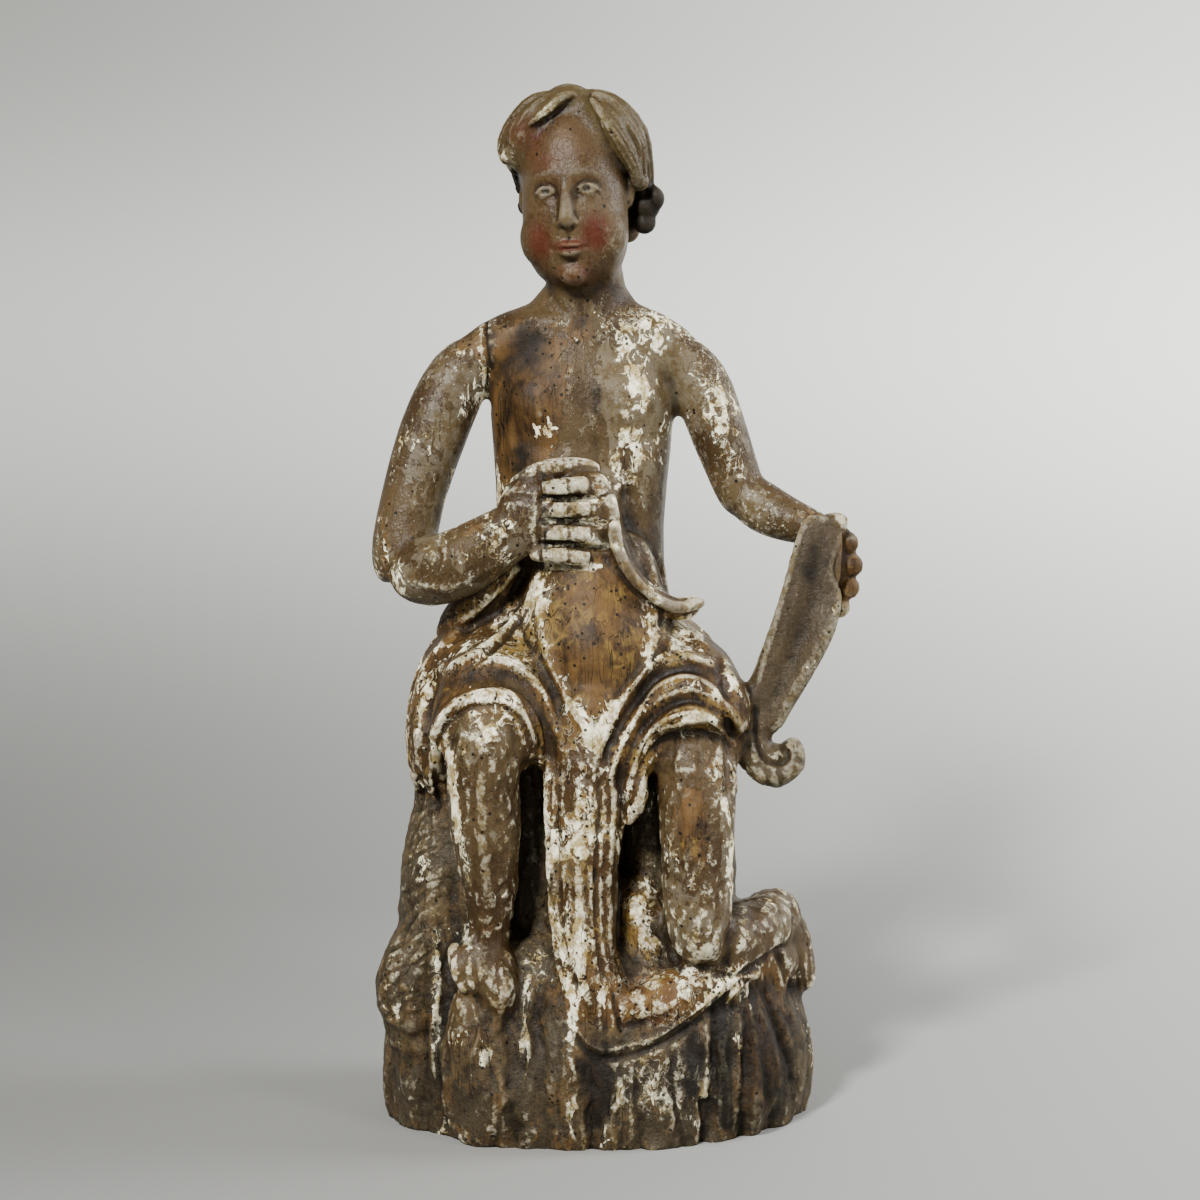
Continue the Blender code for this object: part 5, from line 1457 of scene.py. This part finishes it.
@dataclass
class PaintMap:
    """The amounts of every coat on the carved surface, which the shader breaks up into flakes."""

    surface: Surface
    zones: Array
    wide: Array  # how far each point lies in a large hollow
    coats: Array = field(init=False)
    relief: Array = field(init=False)

    def __post_init__(self) -> None:
        """Lays the base coats, the patches, the wear, and painted shade in the hollows."""
        self.surface.refresh()
        for _ in range(3):
            self.zones = 0.5 * (self.zones + self.surface.mean_of_neighbours(self.zones))
        self.coats = self.zones @ np.array([BASE_COATS[zone] for zone in Zone])
        for patch in HEAD_PATCHES + BODY_PATCHES + TRAILS + BACK_PATCHES:
            self.coats[:, patch.layer.value] += patch.spread(self.surface.points, self.surface.normals)
        fine = (self.surface.hollowness(FINE_ROUNDS) / FINE_DEPTH).clip(-1, 1)
        broad = (self.surface.hollowness(BROAD_ROUNDS) / BROAD_DEPTH).clip(-1, 1)
        for _ in range(2):
            fine = 0.5 * (fine + self.surface.mean_of_neighbours(fine))
        self.relief = 0.5 + 0.5 * np.column_stack([fine, broad, self.wide])
        ridge = (-0.6 * fine - 0.5 * broad).clip(0, 1)
        hollow = (0.4 * fine + 0.7 * broad).clip(0, 1)
        face = self.zones[:, Zone.FACE.value]
        calm = 1 - 0.85 * face - 0.6 * self.zones[:, Zone.HAIR.value]
        self.coats[:, FLESH.value] += 0.10 * hollow - 0.20 * ridge * calm
        self.coats[:, GROUND.value] += 0.10 * ridge * calm
        # Painted shade, partly dirt: the dark coat rises in the hollows and the large hollows and falls on
        # the ridges.
        self.coats[:, DARK.value] += 0.20 * hollow - 0.1 * ridge + 0.15 * self.wide.clip(-0.2, 1)

    @staticmethod
    def large_hollows(coarse: Surface, places: Array) -> Array:
        """How far each place lies in a large hollow of a coarser surface, from -1 to 1."""
        depth = (coarse.hollowness(WIDE_ROUNDS) / WIDE_DEPTH).clip(-1, 1)
        return depth[nearest(coarse.points, places)]

    def onto(self, mesh: bpy.types.Mesh) -> None:
        """Stores the amounts as attributes of a mesh of the same form with other points.

        Args:
            mesh: the mesh, in the same millimetres as the surface.
        """
        source = nearest(self.surface.points, (vertex.co for vertex in mesh.vertices))
        kind = self.zones[:, [Zone.CLOTH.value, Zone.ROCK.value, Zone.HAIR.value]]
        kind[:, 1] += 0.6 * self.zones[:, Zone.SCROLL.value]
        # the stain attribute holds the blush, the dark coat with its painted shade in the hollows, and the
        # weathered grey
        for name, columns in (("coat", self.coats[:, :3]), ("stain", self.coats[:, 3:6]), ("kind", kind),
                              ("relief", self.relief)):
            attribute = mesh.attributes.new(name, "FLOAT_COLOR", "POINT")
            values = np.ones((len(source), 4), np.float32)
            values[:, :3] = columns[source].clip(-1, 2)
            attribute.data.foreach_set("color", values.ravel())


Number = Union[float, "Value"]
Colour = tuple[float, float, float]


class Value:
    """A single number in a shader, on which Python's operators add Math nodes."""

    def __init__(self, graph: "Graph", socket: bpy.types.NodeSocket) -> None:
        """Wraps a socket that gives a number."""
        self.graph = graph
        self.socket = socket

    def __add__(self, other: Number) -> "Value":
        """The sum."""
        return self.graph.math("ADD", self, other)

    __radd__ = __add__

    def __sub__(self, other: Number) -> "Value":
        """The difference."""
        return self.graph.math("SUBTRACT", self, other)

    def __rsub__(self, other: Number) -> "Value":
        """The difference the other way round."""
        return self.graph.math("SUBTRACT", other, self)

    def __mul__(self, other: Number) -> "Value":
        """The product."""
        return self.graph.math("MULTIPLY", self, other)

    __rmul__ = __mul__

    def __truediv__(self, other: Number) -> "Value":
        """The quotient."""
        return self.graph.math("DIVIDE", self, other)

    def __rtruediv__(self, other: Number) -> "Value":
        """The quotient the other way round."""
        return self.graph.math("DIVIDE", other, self)

    def __pow__(self, other: Number) -> "Value":
        """The power."""
        return self.graph.math("POWER", self, other)

    def __rpow__(self, other: Number) -> "Value":
        """The power the other way round."""
        return self.graph.math("POWER", other, self)

    def __neg__(self) -> "Value":
        """The value with its sign changed."""
        return self.graph.math("MULTIPLY", self, -1.0)

    def size(self) -> "Value":
        """The value without its sign."""
        return self.graph.math("ABSOLUTE", self)

    def least(self, other: Number) -> "Value":
        """The smaller of the two."""
        return self.graph.math("MINIMUM", self, other)

    def step(self, low: float, high: float) -> "Value":
        """0 below low, 1 above high, and a smooth rise between them; low above high turns it round."""
        made = self.graph.node("ShaderNodeMapRange", {"interpolation_type": "SMOOTHSTEP"}, {
            "Value": self, "From Min": min(low, high), "From Max": max(low, high),
            "To Min": float(low > high), "To Max": float(low < high),
        })
        return Value(self.graph, made.outputs["Result"])


class Tint:
    """A colour in a shader."""

    def __init__(self, graph: "Graph", socket: bpy.types.NodeSocket) -> None:
        """Wraps a socket that gives a colour."""
        self.graph = graph
        self.socket = socket

    def under(self, other: Union["Tint", Colour], amount: Number, blend: str = "MIX") -> "Tint":
        """This colour with another laid over it.

        Args:
            other: the colour on top.
            amount: how much of it, from 0 to 1.
            blend: how the two combine.

        Returns:
            The mixed colour.
        """
        return self.graph.mix(self, other, amount, blend)


class Graph:
    """The node tree of one material."""

    def __init__(self, name: str) -> None:
        """Makes an empty material."""
        self.material = bpy.data.materials.new(name)
        self.material.use_nodes = True
        self.tree = self.material.node_tree
        self.tree.nodes.clear()

    def node(self, kind: str, settings: Optional[dict] = None,
             inputs: Optional[dict] = None) -> bpy.types.Node:
        """Adds a node.

        Args:
            kind: its type.
            settings: its properties, which are set before its sockets.
            inputs: its sockets by name or number, each with a wrapped socket or a constant.

        Returns:
            The new node.
        """
        made = self.tree.nodes.new(kind)
        for name, setting in (settings or {}).items():
            setattr(made, name, setting)
        for key, given in (inputs or {}).items():
            self.feed(made.inputs[key], given)
        return made

    def feed(self, socket: bpy.types.NodeSocket,
             given: Union[Value, Tint, float, tuple, bpy.types.NodeSocket]) -> None:
        """Links a socket to a wrapped one, or sets its constant."""
        if isinstance(given, (Value, Tint)):
            self.tree.links.new(given.socket, socket)
        elif isinstance(given, bpy.types.NodeSocket):
            self.tree.links.new(given, socket)
        elif isinstance(given, tuple) and len(given) == 3 and len(socket.default_value) == 4:
            socket.default_value = (*given, 1.0)
        else:
            socket.default_value = given

    def math(self, operation: str, *operands: Number) -> Value:
        """Adds a Math node."""
        made = self.node("ShaderNodeMath", {"operation": operation}, dict(enumerate(operands)))
        return Value(self, made.outputs[0])

    def mix(self, below: Union[Tint, Colour], above: Union[Tint, Colour], amount: Number,
            blend: str = "MIX") -> Tint:
        """Adds a Mix node for two colours."""
        made = self.node("ShaderNodeMix", {"data_type": "RGBA", "blend_type": blend, "clamp_factor": True},
                         {0: amount, 6: below, 7: above})
        return Tint(self, made.outputs[2])

    def channels(self, name: str) -> tuple[Value, Value, Value]:
        """The three numbers stored in a colour attribute of the mesh."""
        held = self.node("ShaderNodeAttribute", {"attribute_type": "GEOMETRY", "attribute_name": name})
        parts = self.node("ShaderNodeSeparateColor", {"mode": "RGB"}, {"Color": held.outputs["Color"]})
        red, green, blue = (Value(self, parts.outputs[i]) for i in range(3))
        return red, green, blue

    def stretched(self, place: bpy.types.NodeSocket, scale: tuple[float, float, float],
                  shift: tuple[float, float, float] = (0.0, 0.0, 0.0)) -> bpy.types.NodeSocket:
        """A place multiplied and moved axis by axis."""
        made = self.node("ShaderNodeVectorMath", {"operation": "MULTIPLY_ADD"},
                         {0: place, 1: scale, 2: shift})
        return made.outputs[0]

    def noise(self, place: bpy.types.NodeSocket, grain: float, detail: float = 3.0, rough: float = 0.55,
              twist: float = 0.0) -> Value:
        """Cloudy noise around 0.5.

        Args:
            place: the coordinates in metres.
            grain: the size of its swells in mm.
            detail: how many finer layers it holds.
            rough: how strong those are.
            twist: how much it is distorted.

        Returns:
            The noise.
        """
        made = self.node("ShaderNodeTexNoise", {"noise_dimensions": "3D", "normalize": True}, {
            "Vector": place, "Scale": 1 / (grain * MILLIMETRE), "Detail": detail, "Roughness": rough,
            "Distortion": twist,
        })
        return Value(self, made.outputs[0])

    def cells(self, place: bpy.types.NodeSocket, size: float,
              feature: str = "F1") -> tuple[Value, Optional[Value]]:
        """Distances in a Voronoi pattern, and each cell's own random value where it has one."""
        made = self.node("ShaderNodeTexVoronoi", {"voronoi_dimensions": "3D", "feature": feature},
                         {"Vector": place, "Scale": 1 / (size * MILLIMETRE)})
        if feature != "F1":
            return Value(self, made.outputs["Distance"]), None
        parts = self.node("ShaderNodeSeparateColor", {"mode": "RGB"}, {"Color": made.outputs["Color"]})
        return Value(self, made.outputs["Distance"]), Value(self, parts.outputs[0])


@dataclass(frozen=True)
class WoodFinish:
    """Colours of the old painted wood, in linear light."""

    dark_wood_and_shade: Colour = (0.016, 0.007, 0.002)
    wood_light: Colour = (0.106, 0.056, 0.016)
    wood_grey: Colour = (0.080, 0.062, 0.033)
    ground: Colour = (0.360, 0.275, 0.115)
    ground_light: Colour = (1.000, 0.940, 0.700)
    ochre: Colour = (0.200, 0.125, 0.028)
    skin: Colour = (0.072, 0.047, 0.020)
    skin_warm: Colour = (0.034, 0.018, 0.006)
    cloth: Colour = (0.045, 0.023, 0.007)
    rock: Colour = (0.050, 0.038, 0.021)
    hair: Colour = (0.060, 0.042, 0.017)
    red: Colour = (0.062, 0.006, 0.002)
    soot_and_shade: Colour = (0.006, 0.004, 0.002)
    eye_white: Colour = (0.150, 0.120, 0.072)
    iris: Colour = (0.020, 0.014, 0.010)
    lips: Colour = (0.070, 0.013, 0.006)
    roughness: float = 0.46


class PaintedWood:
    """The material: bare wood, chalk ground, worn paint, dirt and painted shade in the recesses, worm holes
    and cracks.
    """

    def __init__(self, finish: WoodFinish) -> None:
        """Builds the node tree."""
        self.finish = finish
        self.graph = Graph("painted wood")
        self.place = self.graph.node("ShaderNodeTexCoord").outputs["Object"]
        self.flesh, self.ground, self.ochre = self.graph.channels("coat")
        # the dark channel holds stains and black paint, and painted shade in the hollows
        self.red, self.dark, self.grey = self.graph.channels("stain")
        self.cloth, self.rock, self.hair = self.graph.channels("kind")
        fine, broad, wide = self.graph.channels("relief")
        self.fine, self.broad, self.wide = fine * 2 - 1, broad * 2 - 1, wide * 2 - 1
        self.build()

    def grain(self) -> tuple[Value, Value]:
        """The fibres of the wood, and its thin upright cracks."""
        graph = self.graph
        along_z = graph.stretched(self.place, (1.0, 1.0, 0.07))
        fibres = graph.noise(along_z, 1.3, 4.0, 0.65)
        bands = graph.noise(graph.stretched(self.place, (1.0, 1.0, 0.12)), 7.0, 2.0, 0.5, 0.4)
        split = graph.noise(graph.stretched(self.place, (1.0, 1.0, 0.045), (0.3, 0.1, 0.0)), 7.0, 2.0, 0.5)
        cracks = (split - 0.5).size().step(0.010, 0.002) * graph.noise(self.place, 30, 1.0).step(0.50, 0.62)
        return fibres * 0.55 + bands * 0.45, cracks

    def features(self, colour: Tint) -> Tint:
        """Paints eyes, lids, brows and lips, and a painted shade round each eye, as soft ovals in the head's
        own frame.
        """
        graph, finish = self.graph, self.finish
        unit = FINISHED_SCALE * MILLIMETRE
        centre = tuple(-unit * value for value in HEAD.centre)
        moved = graph.stretched(self.place, (1.0, 1.0, 1.0), centre)
        across, deep, up = (
            Value(graph, graph.node("ShaderNodeVectorMath", {"operation": "DOT_PRODUCT"},
                                    {0: moved,
                                     1: tuple(axis)}).outputs["Value"]) / unit for axis in HEAD.matrix().T
        )
        front = deep.step(-20, -24)
        side = across.size()

        def oval(x: Value, middle: float, level: float, wide: float, tall: float,
                 soft: float = 0.35) -> Value:
            """1 inside an oval and 0 outside it."""
            away = ((x - middle) / wide) ** 2 + ((up - level) / tall) ** 2
            return away.step(1 + soft, 1 - soft) * front

        eye = Head.eye
        worn = (graph.noise(self.place, 3.2, 3.0, 0.6) + 0.1).step(0.30, 0.52)
        brow = oval(side, eye, 8.8, 9.5, 2.0, 0.9)
        # painted shade round each eye, laid in the dark wood colour
        shade = oval(side, eye, -2.0, 8.6, 4.8, 0.8)
        colour = colour.under(finish.dark_wood_and_shade, brow * worn * 0.35).under(finish.dark_wood_and_shade, shade * 0.35)
        colour = colour.under(finish.eye_white, oval(side, eye, -2.3, 6.3, 2.9) * 0.85)
        colour = colour.under(finish.iris, oval(side, eye - 0.4, -2.1, 2.5, 2.5, 0.3) * 0.9)
        lid = oval(side, eye, -0.8, 7.4, 3.4, 0.2) * (1 - oval(side, eye, -2.0, 7.2, 3.2, 0.2))
        colour = colour.under(finish.iris, lid * 0.6)
        return colour.under(finish.lips, oval(across, 0, -35.6, 9.5, 3.6, 0.7) * worn * 0.75)

    def flakes(self, amount: Value, shift: float, soft: float = 0.014) -> tuple[Value, Value]:
        """Where a coat still holds, and a thin rim just outside its edge.

        Args:
            amount: how much of it there is on the whole.
            shift: moves the pattern, so that coats break up apart from each other.
            soft: half the width of the edge.

        Returns:
            The coat and the rim.
        """
        graph = self.graph
        moved = graph.stretched(self.place, (1.0, 1.0, 0.72), (shift, shift, shift))
        islands = (graph.noise(moved, 30, 2.0) - 0.5) * 1.3
        chips = (graph.noise(moved, 6.0, 6.0, 0.64, 1.0) - 0.5) * 1.35
        level = amount + islands + chips
        coat = level.step(0.5 - soft, 0.5 + soft)
        rim = level.step(0.43, 0.48) * level.step(0.56, 0.50)
        return coat, rim

    def build(self) -> None:
        """Lays the coats over each other and joins them to the shader."""
        graph, finish = self.graph, self.finish
        fibres, cracks = self.grain()
        tone = graph.noise(self.place, 42, 2.0)
        fleck = graph.noise(self.place, 2.6, 3.0, 0.7)

        stain = graph.noise(graph.stretched(self.place, (1.0, 1.0, 0.5)), 15, 4.0, 0.6, 0.5)
        wood = graph.mix(finish.dark_wood_and_shade, finish.wood_light, (fibres * 0.4 + stain * 0.6).step(0.36, 0.62))
        greyed = (self.grey + (tone - 0.5) * 1.2 + (fleck - 0.5) * 0.8).step(0.25, 0.85)
        wood = wood.under(finish.wood_grey, greyed * (fibres * 0.6 + 0.35))

        ground, _ = self.flakes(self.ground, 0.21)
        flesh, rim = self.flakes(self.flesh, 0.47)
        ochre, _ = self.flakes(self.ochre, 0.83, 0.16)
        mottle = (fleck * 0.4 + graph.noise(self.place, 9, 3.0) * 0.6).step(0.40, 0.58)
        chalk = graph.mix(finish.ground, finish.ground_light, mottle)
        shown = (ground + rim * self.ground.step(0.28, 0.50) * 0.8).least(1)
        haze = (self.ground + (graph.noise(self.place, 9, 4.0, 0.7) - 0.5) * 1.2).step(0.2, 1.1)
        colour = wood.under(finish.ground, haze * 0.14)
        colour = colour.under(chalk, shown * fleck.step(0.26, 0.40))
        colour = colour.under(finish.ochre, ochre * 0.72)

        skin = graph.mix(finish.skin, finish.skin_warm, (tone + (fleck - 0.5) * 0.6).step(0.40, 0.66))
        skin = skin.under(finish.cloth, self.cloth).under(finish.rock, self.rock).under(finish.hair,
                                                                                        self.hair)
        skin = skin.under(finish.dark_wood_and_shade, fibres.step(0.55, 0.25) * 0.35)
        colour = colour.under(skin, flesh * 0.93)

        blush = (self.red + (tone - 0.5) * 0.35 + (fleck - 0.5) * 0.25).step(0.12, 0.95)
        colour = colour.under(finish.red, blush * 0.8)
        # the dark coat: stains and black paint, with the painted shade of the hollows
        stain_and_shade = (self.dark + (graph.noise(self.place, 11, 3.0) - 0.5) * 0.9).step(0.30, 0.95)
        colour = colour.under(finish.soot_and_shade, stain_and_shade * 0.93)
        colour = self.features(colour)
        # Painted shade, partly dirt: the recesses that the relief attribute finds are darkened with the soot
        # colour.
        recess = self.broad * (0.6 - self.rock * 0.25) + self.fine * 0.55 + self.wide * 0.1
        dirt_and_shade = (recess + (fleck - 0.5) * 0.4).step(0.10, 0.85)
        colour = colour.under(finish.soot_and_shade, dirt_and_shade * 0.62)
        worn = (-self.fine * 0.7 - self.broad * 0.3 + (fleck - 0.5) * 1.6).step(0.35, 0.75)
        colour = colour.under(chalk, worn * 0.55 * (self.ground + 0.2).step(0.3, 0.7) * (1 - stain_and_shade * 0.9))
        rugged = graph.noise(self.place, 4.2, 4.0, 0.7)
        colour = colour.under(finish.soot_and_shade, rugged.step(0.47, 0.36) * self.rock * 0.5)

        reach, chance = graph.cells(self.place, 5.2)
        swarm = (graph.noise(self.place, 24, 2.0) - 0.5) * 0.9
        eaten = chance + swarm - flesh * 0.36 + self.cloth * 0.22 - self.rock * 0.1
        holes = reach.step(0.21, 0.17) * eaten.step(0.52, 0.56)
        cracks = cracks * (1 - flesh * 0.85)
        colour = colour.under(finish.soot_and_shade, (holes + cracks * 0.8).least(1) * 0.95)

        edge, _ = graph.cells(graph.stretched(self.place, (1.0, 1.0, 0.8)), 5.0, "DISTANCE_TO_EDGE")
        craze = edge.step(0.035, 0.008) * flesh
        colour = colour.under(finish.dark_wood_and_shade, craze * 0.14)

        height = (shown * 0.35 + flesh * 0.35 + fibres * 0.5 + fleck * 0.35 - holes * 2.2 - cracks * 1.4
                  - craze * 0.10 + graph.noise(self.place, 5, 3.0) * 0.6 + self.rock * rugged * 1.6)
        bump = graph.node("ShaderNodeBump", None, {"Strength": 1.0, "Distance": 0.0009, "Height": height})
        rough = (fibres * 0.15 + finish.roughness + worn * 0.1 - flesh * 0.12 + stain_and_shade * 0.1)
        surface = graph.node("ShaderNodeBsdfPrincipled", None, {
            "Base Color": colour, "Roughness": rough, "Normal": bump.outputs["Normal"],
            "Specular IOR Level": 0.20,
        })
        graph.node("ShaderNodeOutputMaterial", None, {"Surface": surface.outputs["BSDF"]})


@dataclass
class Figure:
    """The whole carving, made in the carver's order from the roughed-out rock to the features."""

    rock: Rock = field(default_factory=Rock)
    torso: Torso = field(default_factory=Torso)
    right_arm: RightArm = field(default_factory=RightArm)
    left_arm: LeftArm = field(default_factory=LeftArm)
    scroll: Scroll = field(default_factory=Scroll)
    right_leg: RightLeg = field(default_factory=RightLeg)
    left_leg: LeftLeg = field(default_factory=LeftLeg)
    cloth: Cloth = field(default_factory=Cloth)
    head: Head = field(default_factory=Head)
    hair: Hair = field(default_factory=Hair)
    height: float = field(default_factory=lambda: cad_high.z - cad_low.z)

    def parts(self) -> list[Part]:
        """Everything but the rock."""
        return [self.torso, self.right_arm, self.left_arm, self.scroll, self.right_leg, self.left_leg,
                self.cloth, self.head, self.hair]

    def roughed_rock(self) -> bpy.types.Object:
        """The rock by itself."""
        stone = Carving()
        self.rock.block(stone)
        body = stone.body(ROCK_VOXEL)
        surface = Surface(body)
        surface.fillet(4)
        self.rock.rough(surface)
        surface.store()
        log.info("rock roughed out: %d points", surface.count)
        return body

    def build(self) -> bpy.types.Object:
        """Carves the figure and paints it.

        Returns:
            The finished object.
        """
        zone_map = ZoneMap()
        masses = Carving()
        masses.take_up(self.roughed_rock())
        for part in self.parts():
            masses.zone = part.zone
            part.block(masses)
        zone_map.take(masses, 0)
        body = masses.body(BLOCK_VOXEL)
        coarse = surface = Surface(body)
        surface.fillet(12)
        surface.smooth(1)
        self.head.sockets(surface)
        surface.store()
        log.info("masses joined: %d points", surface.count)

        details = Carving()
        details.take_up(body)
        for part in self.parts():
            details.zone = part.zone
            part.detail(details)
        zone_map.take(details, 1)
        body = details.body(FINE_VOXEL)
        surface = Surface(body)
        surface.fillet(2)
        surface.smooth(3)
        for part in [self.rock, *self.parts()]:
            part.chisel(surface)
            log.info("%s chiselled", type(part).__name__)
        surface.smooth(1)
        surface.store()
        paint = PaintMap(surface, zone_map.weights(surface.points),
                         PaintMap.large_hollows(coarse, surface.points))
        log.info("paint laid on %d points", surface.count)
        self.finish(body, paint)
        return body

    def finish(self, body: bpy.types.Object, paint: PaintMap) -> None:
        """Lowers the count of triangles, saws the foot flat, scales to the CAD height and shades it.

        Args:
            body: the carved object, in millimetres.
            paint: the coats on it.
        """
        apply_modifier(body, "TRIANGULATE")
        share = MOST_TRIANGLES / len(body.data.polygons)
        if share < 1:
            apply_modifier(body, "DECIMATE", ratio=share)
        self.saw_flat(body)
        paint.onto(body.data)
        points = np.empty(len(body.data.vertices) * 3, np.float32)
        body.data.vertices.foreach_get("co", points)
        points = points.reshape(-1, 3)
        points *= self.height / points[:, 2].max()
        inset = np.array((MARGIN, MARGIN, 0))
        points = points.clip(np.array(cad_low) + inset, np.array(cad_high) - inset).astype(np.float32)
        body.data.vertices.foreach_set("co", points.ravel())
        body.data.shade_smooth()
        body.data.materials.clear()
        body.data.materials.append(PaintedWood(WoodFinish()).graph.material)
        body.data.update()
        log.info("figure: %d triangles", len(body.data.polygons))

    def saw_flat(self, body: bpy.types.Object) -> None:
        """Saws the block level at z = 0, closes the cut and drops slivers and crumbs."""
        select_only(body)
        bpy.ops.object.mode_set(mode="EDIT")
        bpy.ops.mesh.select_all(action="SELECT")
        bpy.ops.mesh.remove_doubles(threshold=SLIVER)
        bpy.ops.mesh.bisect(plane_co=(0, 0, 0), plane_no=(0, 0, 1), use_fill=True, clear_inner=True,
                            threshold=1e-5)
        bpy.ops.mesh.select_all(action="SELECT")
        bpy.ops.mesh.quads_convert_to_tris()
        bpy.ops.mesh.select_all(action="DESELECT")
        bpy.ops.object.mode_set(mode="OBJECT")
        max(body.data.vertices, key=lambda vertex: vertex.co.z).select = True
        bpy.ops.object.mode_set(mode="EDIT")
        bpy.ops.mesh.select_linked()
        bpy.ops.mesh.select_all(action="INVERT")
        bpy.ops.mesh.delete(type="VERT")
        bpy.ops.object.mode_set(mode="OBJECT")


@dataclass
class Studio:
    """Camera, floor and lights of the photograph."""

    scale: float  # of the finished figure against the drawn millimetres
    lens: float = 66.15
    pitch: float = 4.3  # degrees below level
    distance: float = 1400.0
    camera_x: float = 2.5
    camera_z: float = 430.0
    # the dark and pale ends of the backdrop's painted light; the top of the wall fades back to the floor's
    # grey as painted shade
    floor: Colour = (0.186, 0.186, 0.180)
    wall: Colour = (0.88, 0.885, 0.84)

    def camera(self) -> None:
        """Puts the camera where the photograph was taken from."""
        deselect_all()
        unit = self.scale * MILLIMETRE
        place = (self.camera_x * unit, -self.distance * unit, self.camera_z * unit)
        bpy.ops.object.camera_add(location=place, rotation=(math.radians(90 - self.pitch), 0, 0))
        camera = bpy.context.object
        camera.data.lens = self.lens
        camera.data.sensor_width = 36
        camera.data.clip_start = 0.05
        camera.data.clip_end = 50
        bpy.context.scene.camera = camera

    def light(self, name: str, place: Row, aim: Row, size: float, power: float, colour: Colour) -> None:
        """Adds a square soft light.

        Args:
            name: what it is called.
            place: where it stands, in metres.
            aim: what it points at.
            size: its side in metres.
            power: in watts.
            colour: of its light.
        """
        deselect_all()
        bpy.ops.object.light_add(type="AREA", location=place)
        lamp = bpy.context.object
        lamp.name = name
        lamp.data.size = size
        lamp.data.energy = power
        lamp.data.color = colour
        lamp.rotation_euler = (Vector(aim) - Vector(place)).to_track_quat("-Z", "Y").to_euler()

    def backdrop(self) -> None:
        """A floor that rises behind the figure in a wide curve, coloured with painted light and shade: grey
        on the floor, pale up the wall and brighter towards the viewer's right, and darker again towards the
        top.
        """
        width, front, back, top, radius = 4.0, -2.2, 1.5, 3.2, 0.9
        bend = [(back - radius + radius * math.sin(t), radius - radius * math.cos(t))
                for t in np.linspace(0, math.pi / 2, 24)]
        profile = [(front, 0.0), *bend, (back, top)]
        points = [(x, y, z) for x in (-width, width) for y, z in profile]
        count = len(profile)
        faces = [(i, i + count, i + count + 1, i + 1) for i in range(count - 1)]
        mesh = bpy.data.meshes.new("backdrop")
        mesh.from_pydata(points, [], faces)
        mesh.shade_smooth()
        sheet = bpy.data.objects.new("backdrop", mesh)
        bpy.context.scene.collection.objects.link(sheet)
        graph = Graph("paper")
        place = graph.node("ShaderNodeSeparateXYZ", None,
                           {0: graph.node("ShaderNodeTexCoord").outputs["Object"]})
        side, height = (Value(graph, place.outputs[i]) for i in (0, 2))
        # painted light and shade: grey floor rising to the pale wall, brighter towards the viewer's right,
        # and darker again towards the top
        painted_light = height.step(0.0, 0.7) * 0.72 + (side + height * 0.2).step(-0.7, 0.9) * 0.28
        painted_light = painted_light - height.step(0.35, 1.05) * 0.55
        surface = graph.node("ShaderNodeBsdfPrincipled", None, {
            "Base Color": graph.mix(self.floor, self.wall, painted_light), "Roughness": 0.9, "Specular IOR Level": 0.15,
        })
        graph.node("ShaderNodeOutputMaterial", None, {"Surface": surface.outputs["BSDF"]})
        mesh.materials.append(graph.material)

    def build(self) -> None:
        """Sets up everything around the figure."""
        self.camera()
        self.backdrop()
        self.light("key", (-0.9, -1.9, 1.8), (0, 0, 0.35), 0.36, 134, (1.0, 0.99, 0.96))
        self.light("fill", (1.5, -1.5, 1.0), (0, 0, 0.35), 0.45, 20, (1.0, 1.0, 0.99))
        self.light("wall", (1.7, 0.2, 1.2), (0.7, 1.5, 0.4), 1.0, 72, (1.0, 1.0, 1.0))
        world = bpy.data.worlds.new("studio")
        world.use_nodes = True
        world.node_tree.nodes["Background"].inputs["Color"].default_value = (0.98, 1.0, 0.97, 1.0)
        world.node_tree.nodes["Background"].inputs["Strength"].default_value = 0.18
        bpy.context.scene.world = world
        log.info("studio set up")


def main() -> None:
    """Builds the figure and its studio, in order."""
    logging.basicConfig(level=logging.INFO, format="%(message)s")
    figure = Figure()
    body = figure.build()
    body.name = "angel"
    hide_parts(NODE)
    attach(body, "root")
    Studio(scale=FINISHED_SCALE).build()


if __name__ == "__main__":
    main()
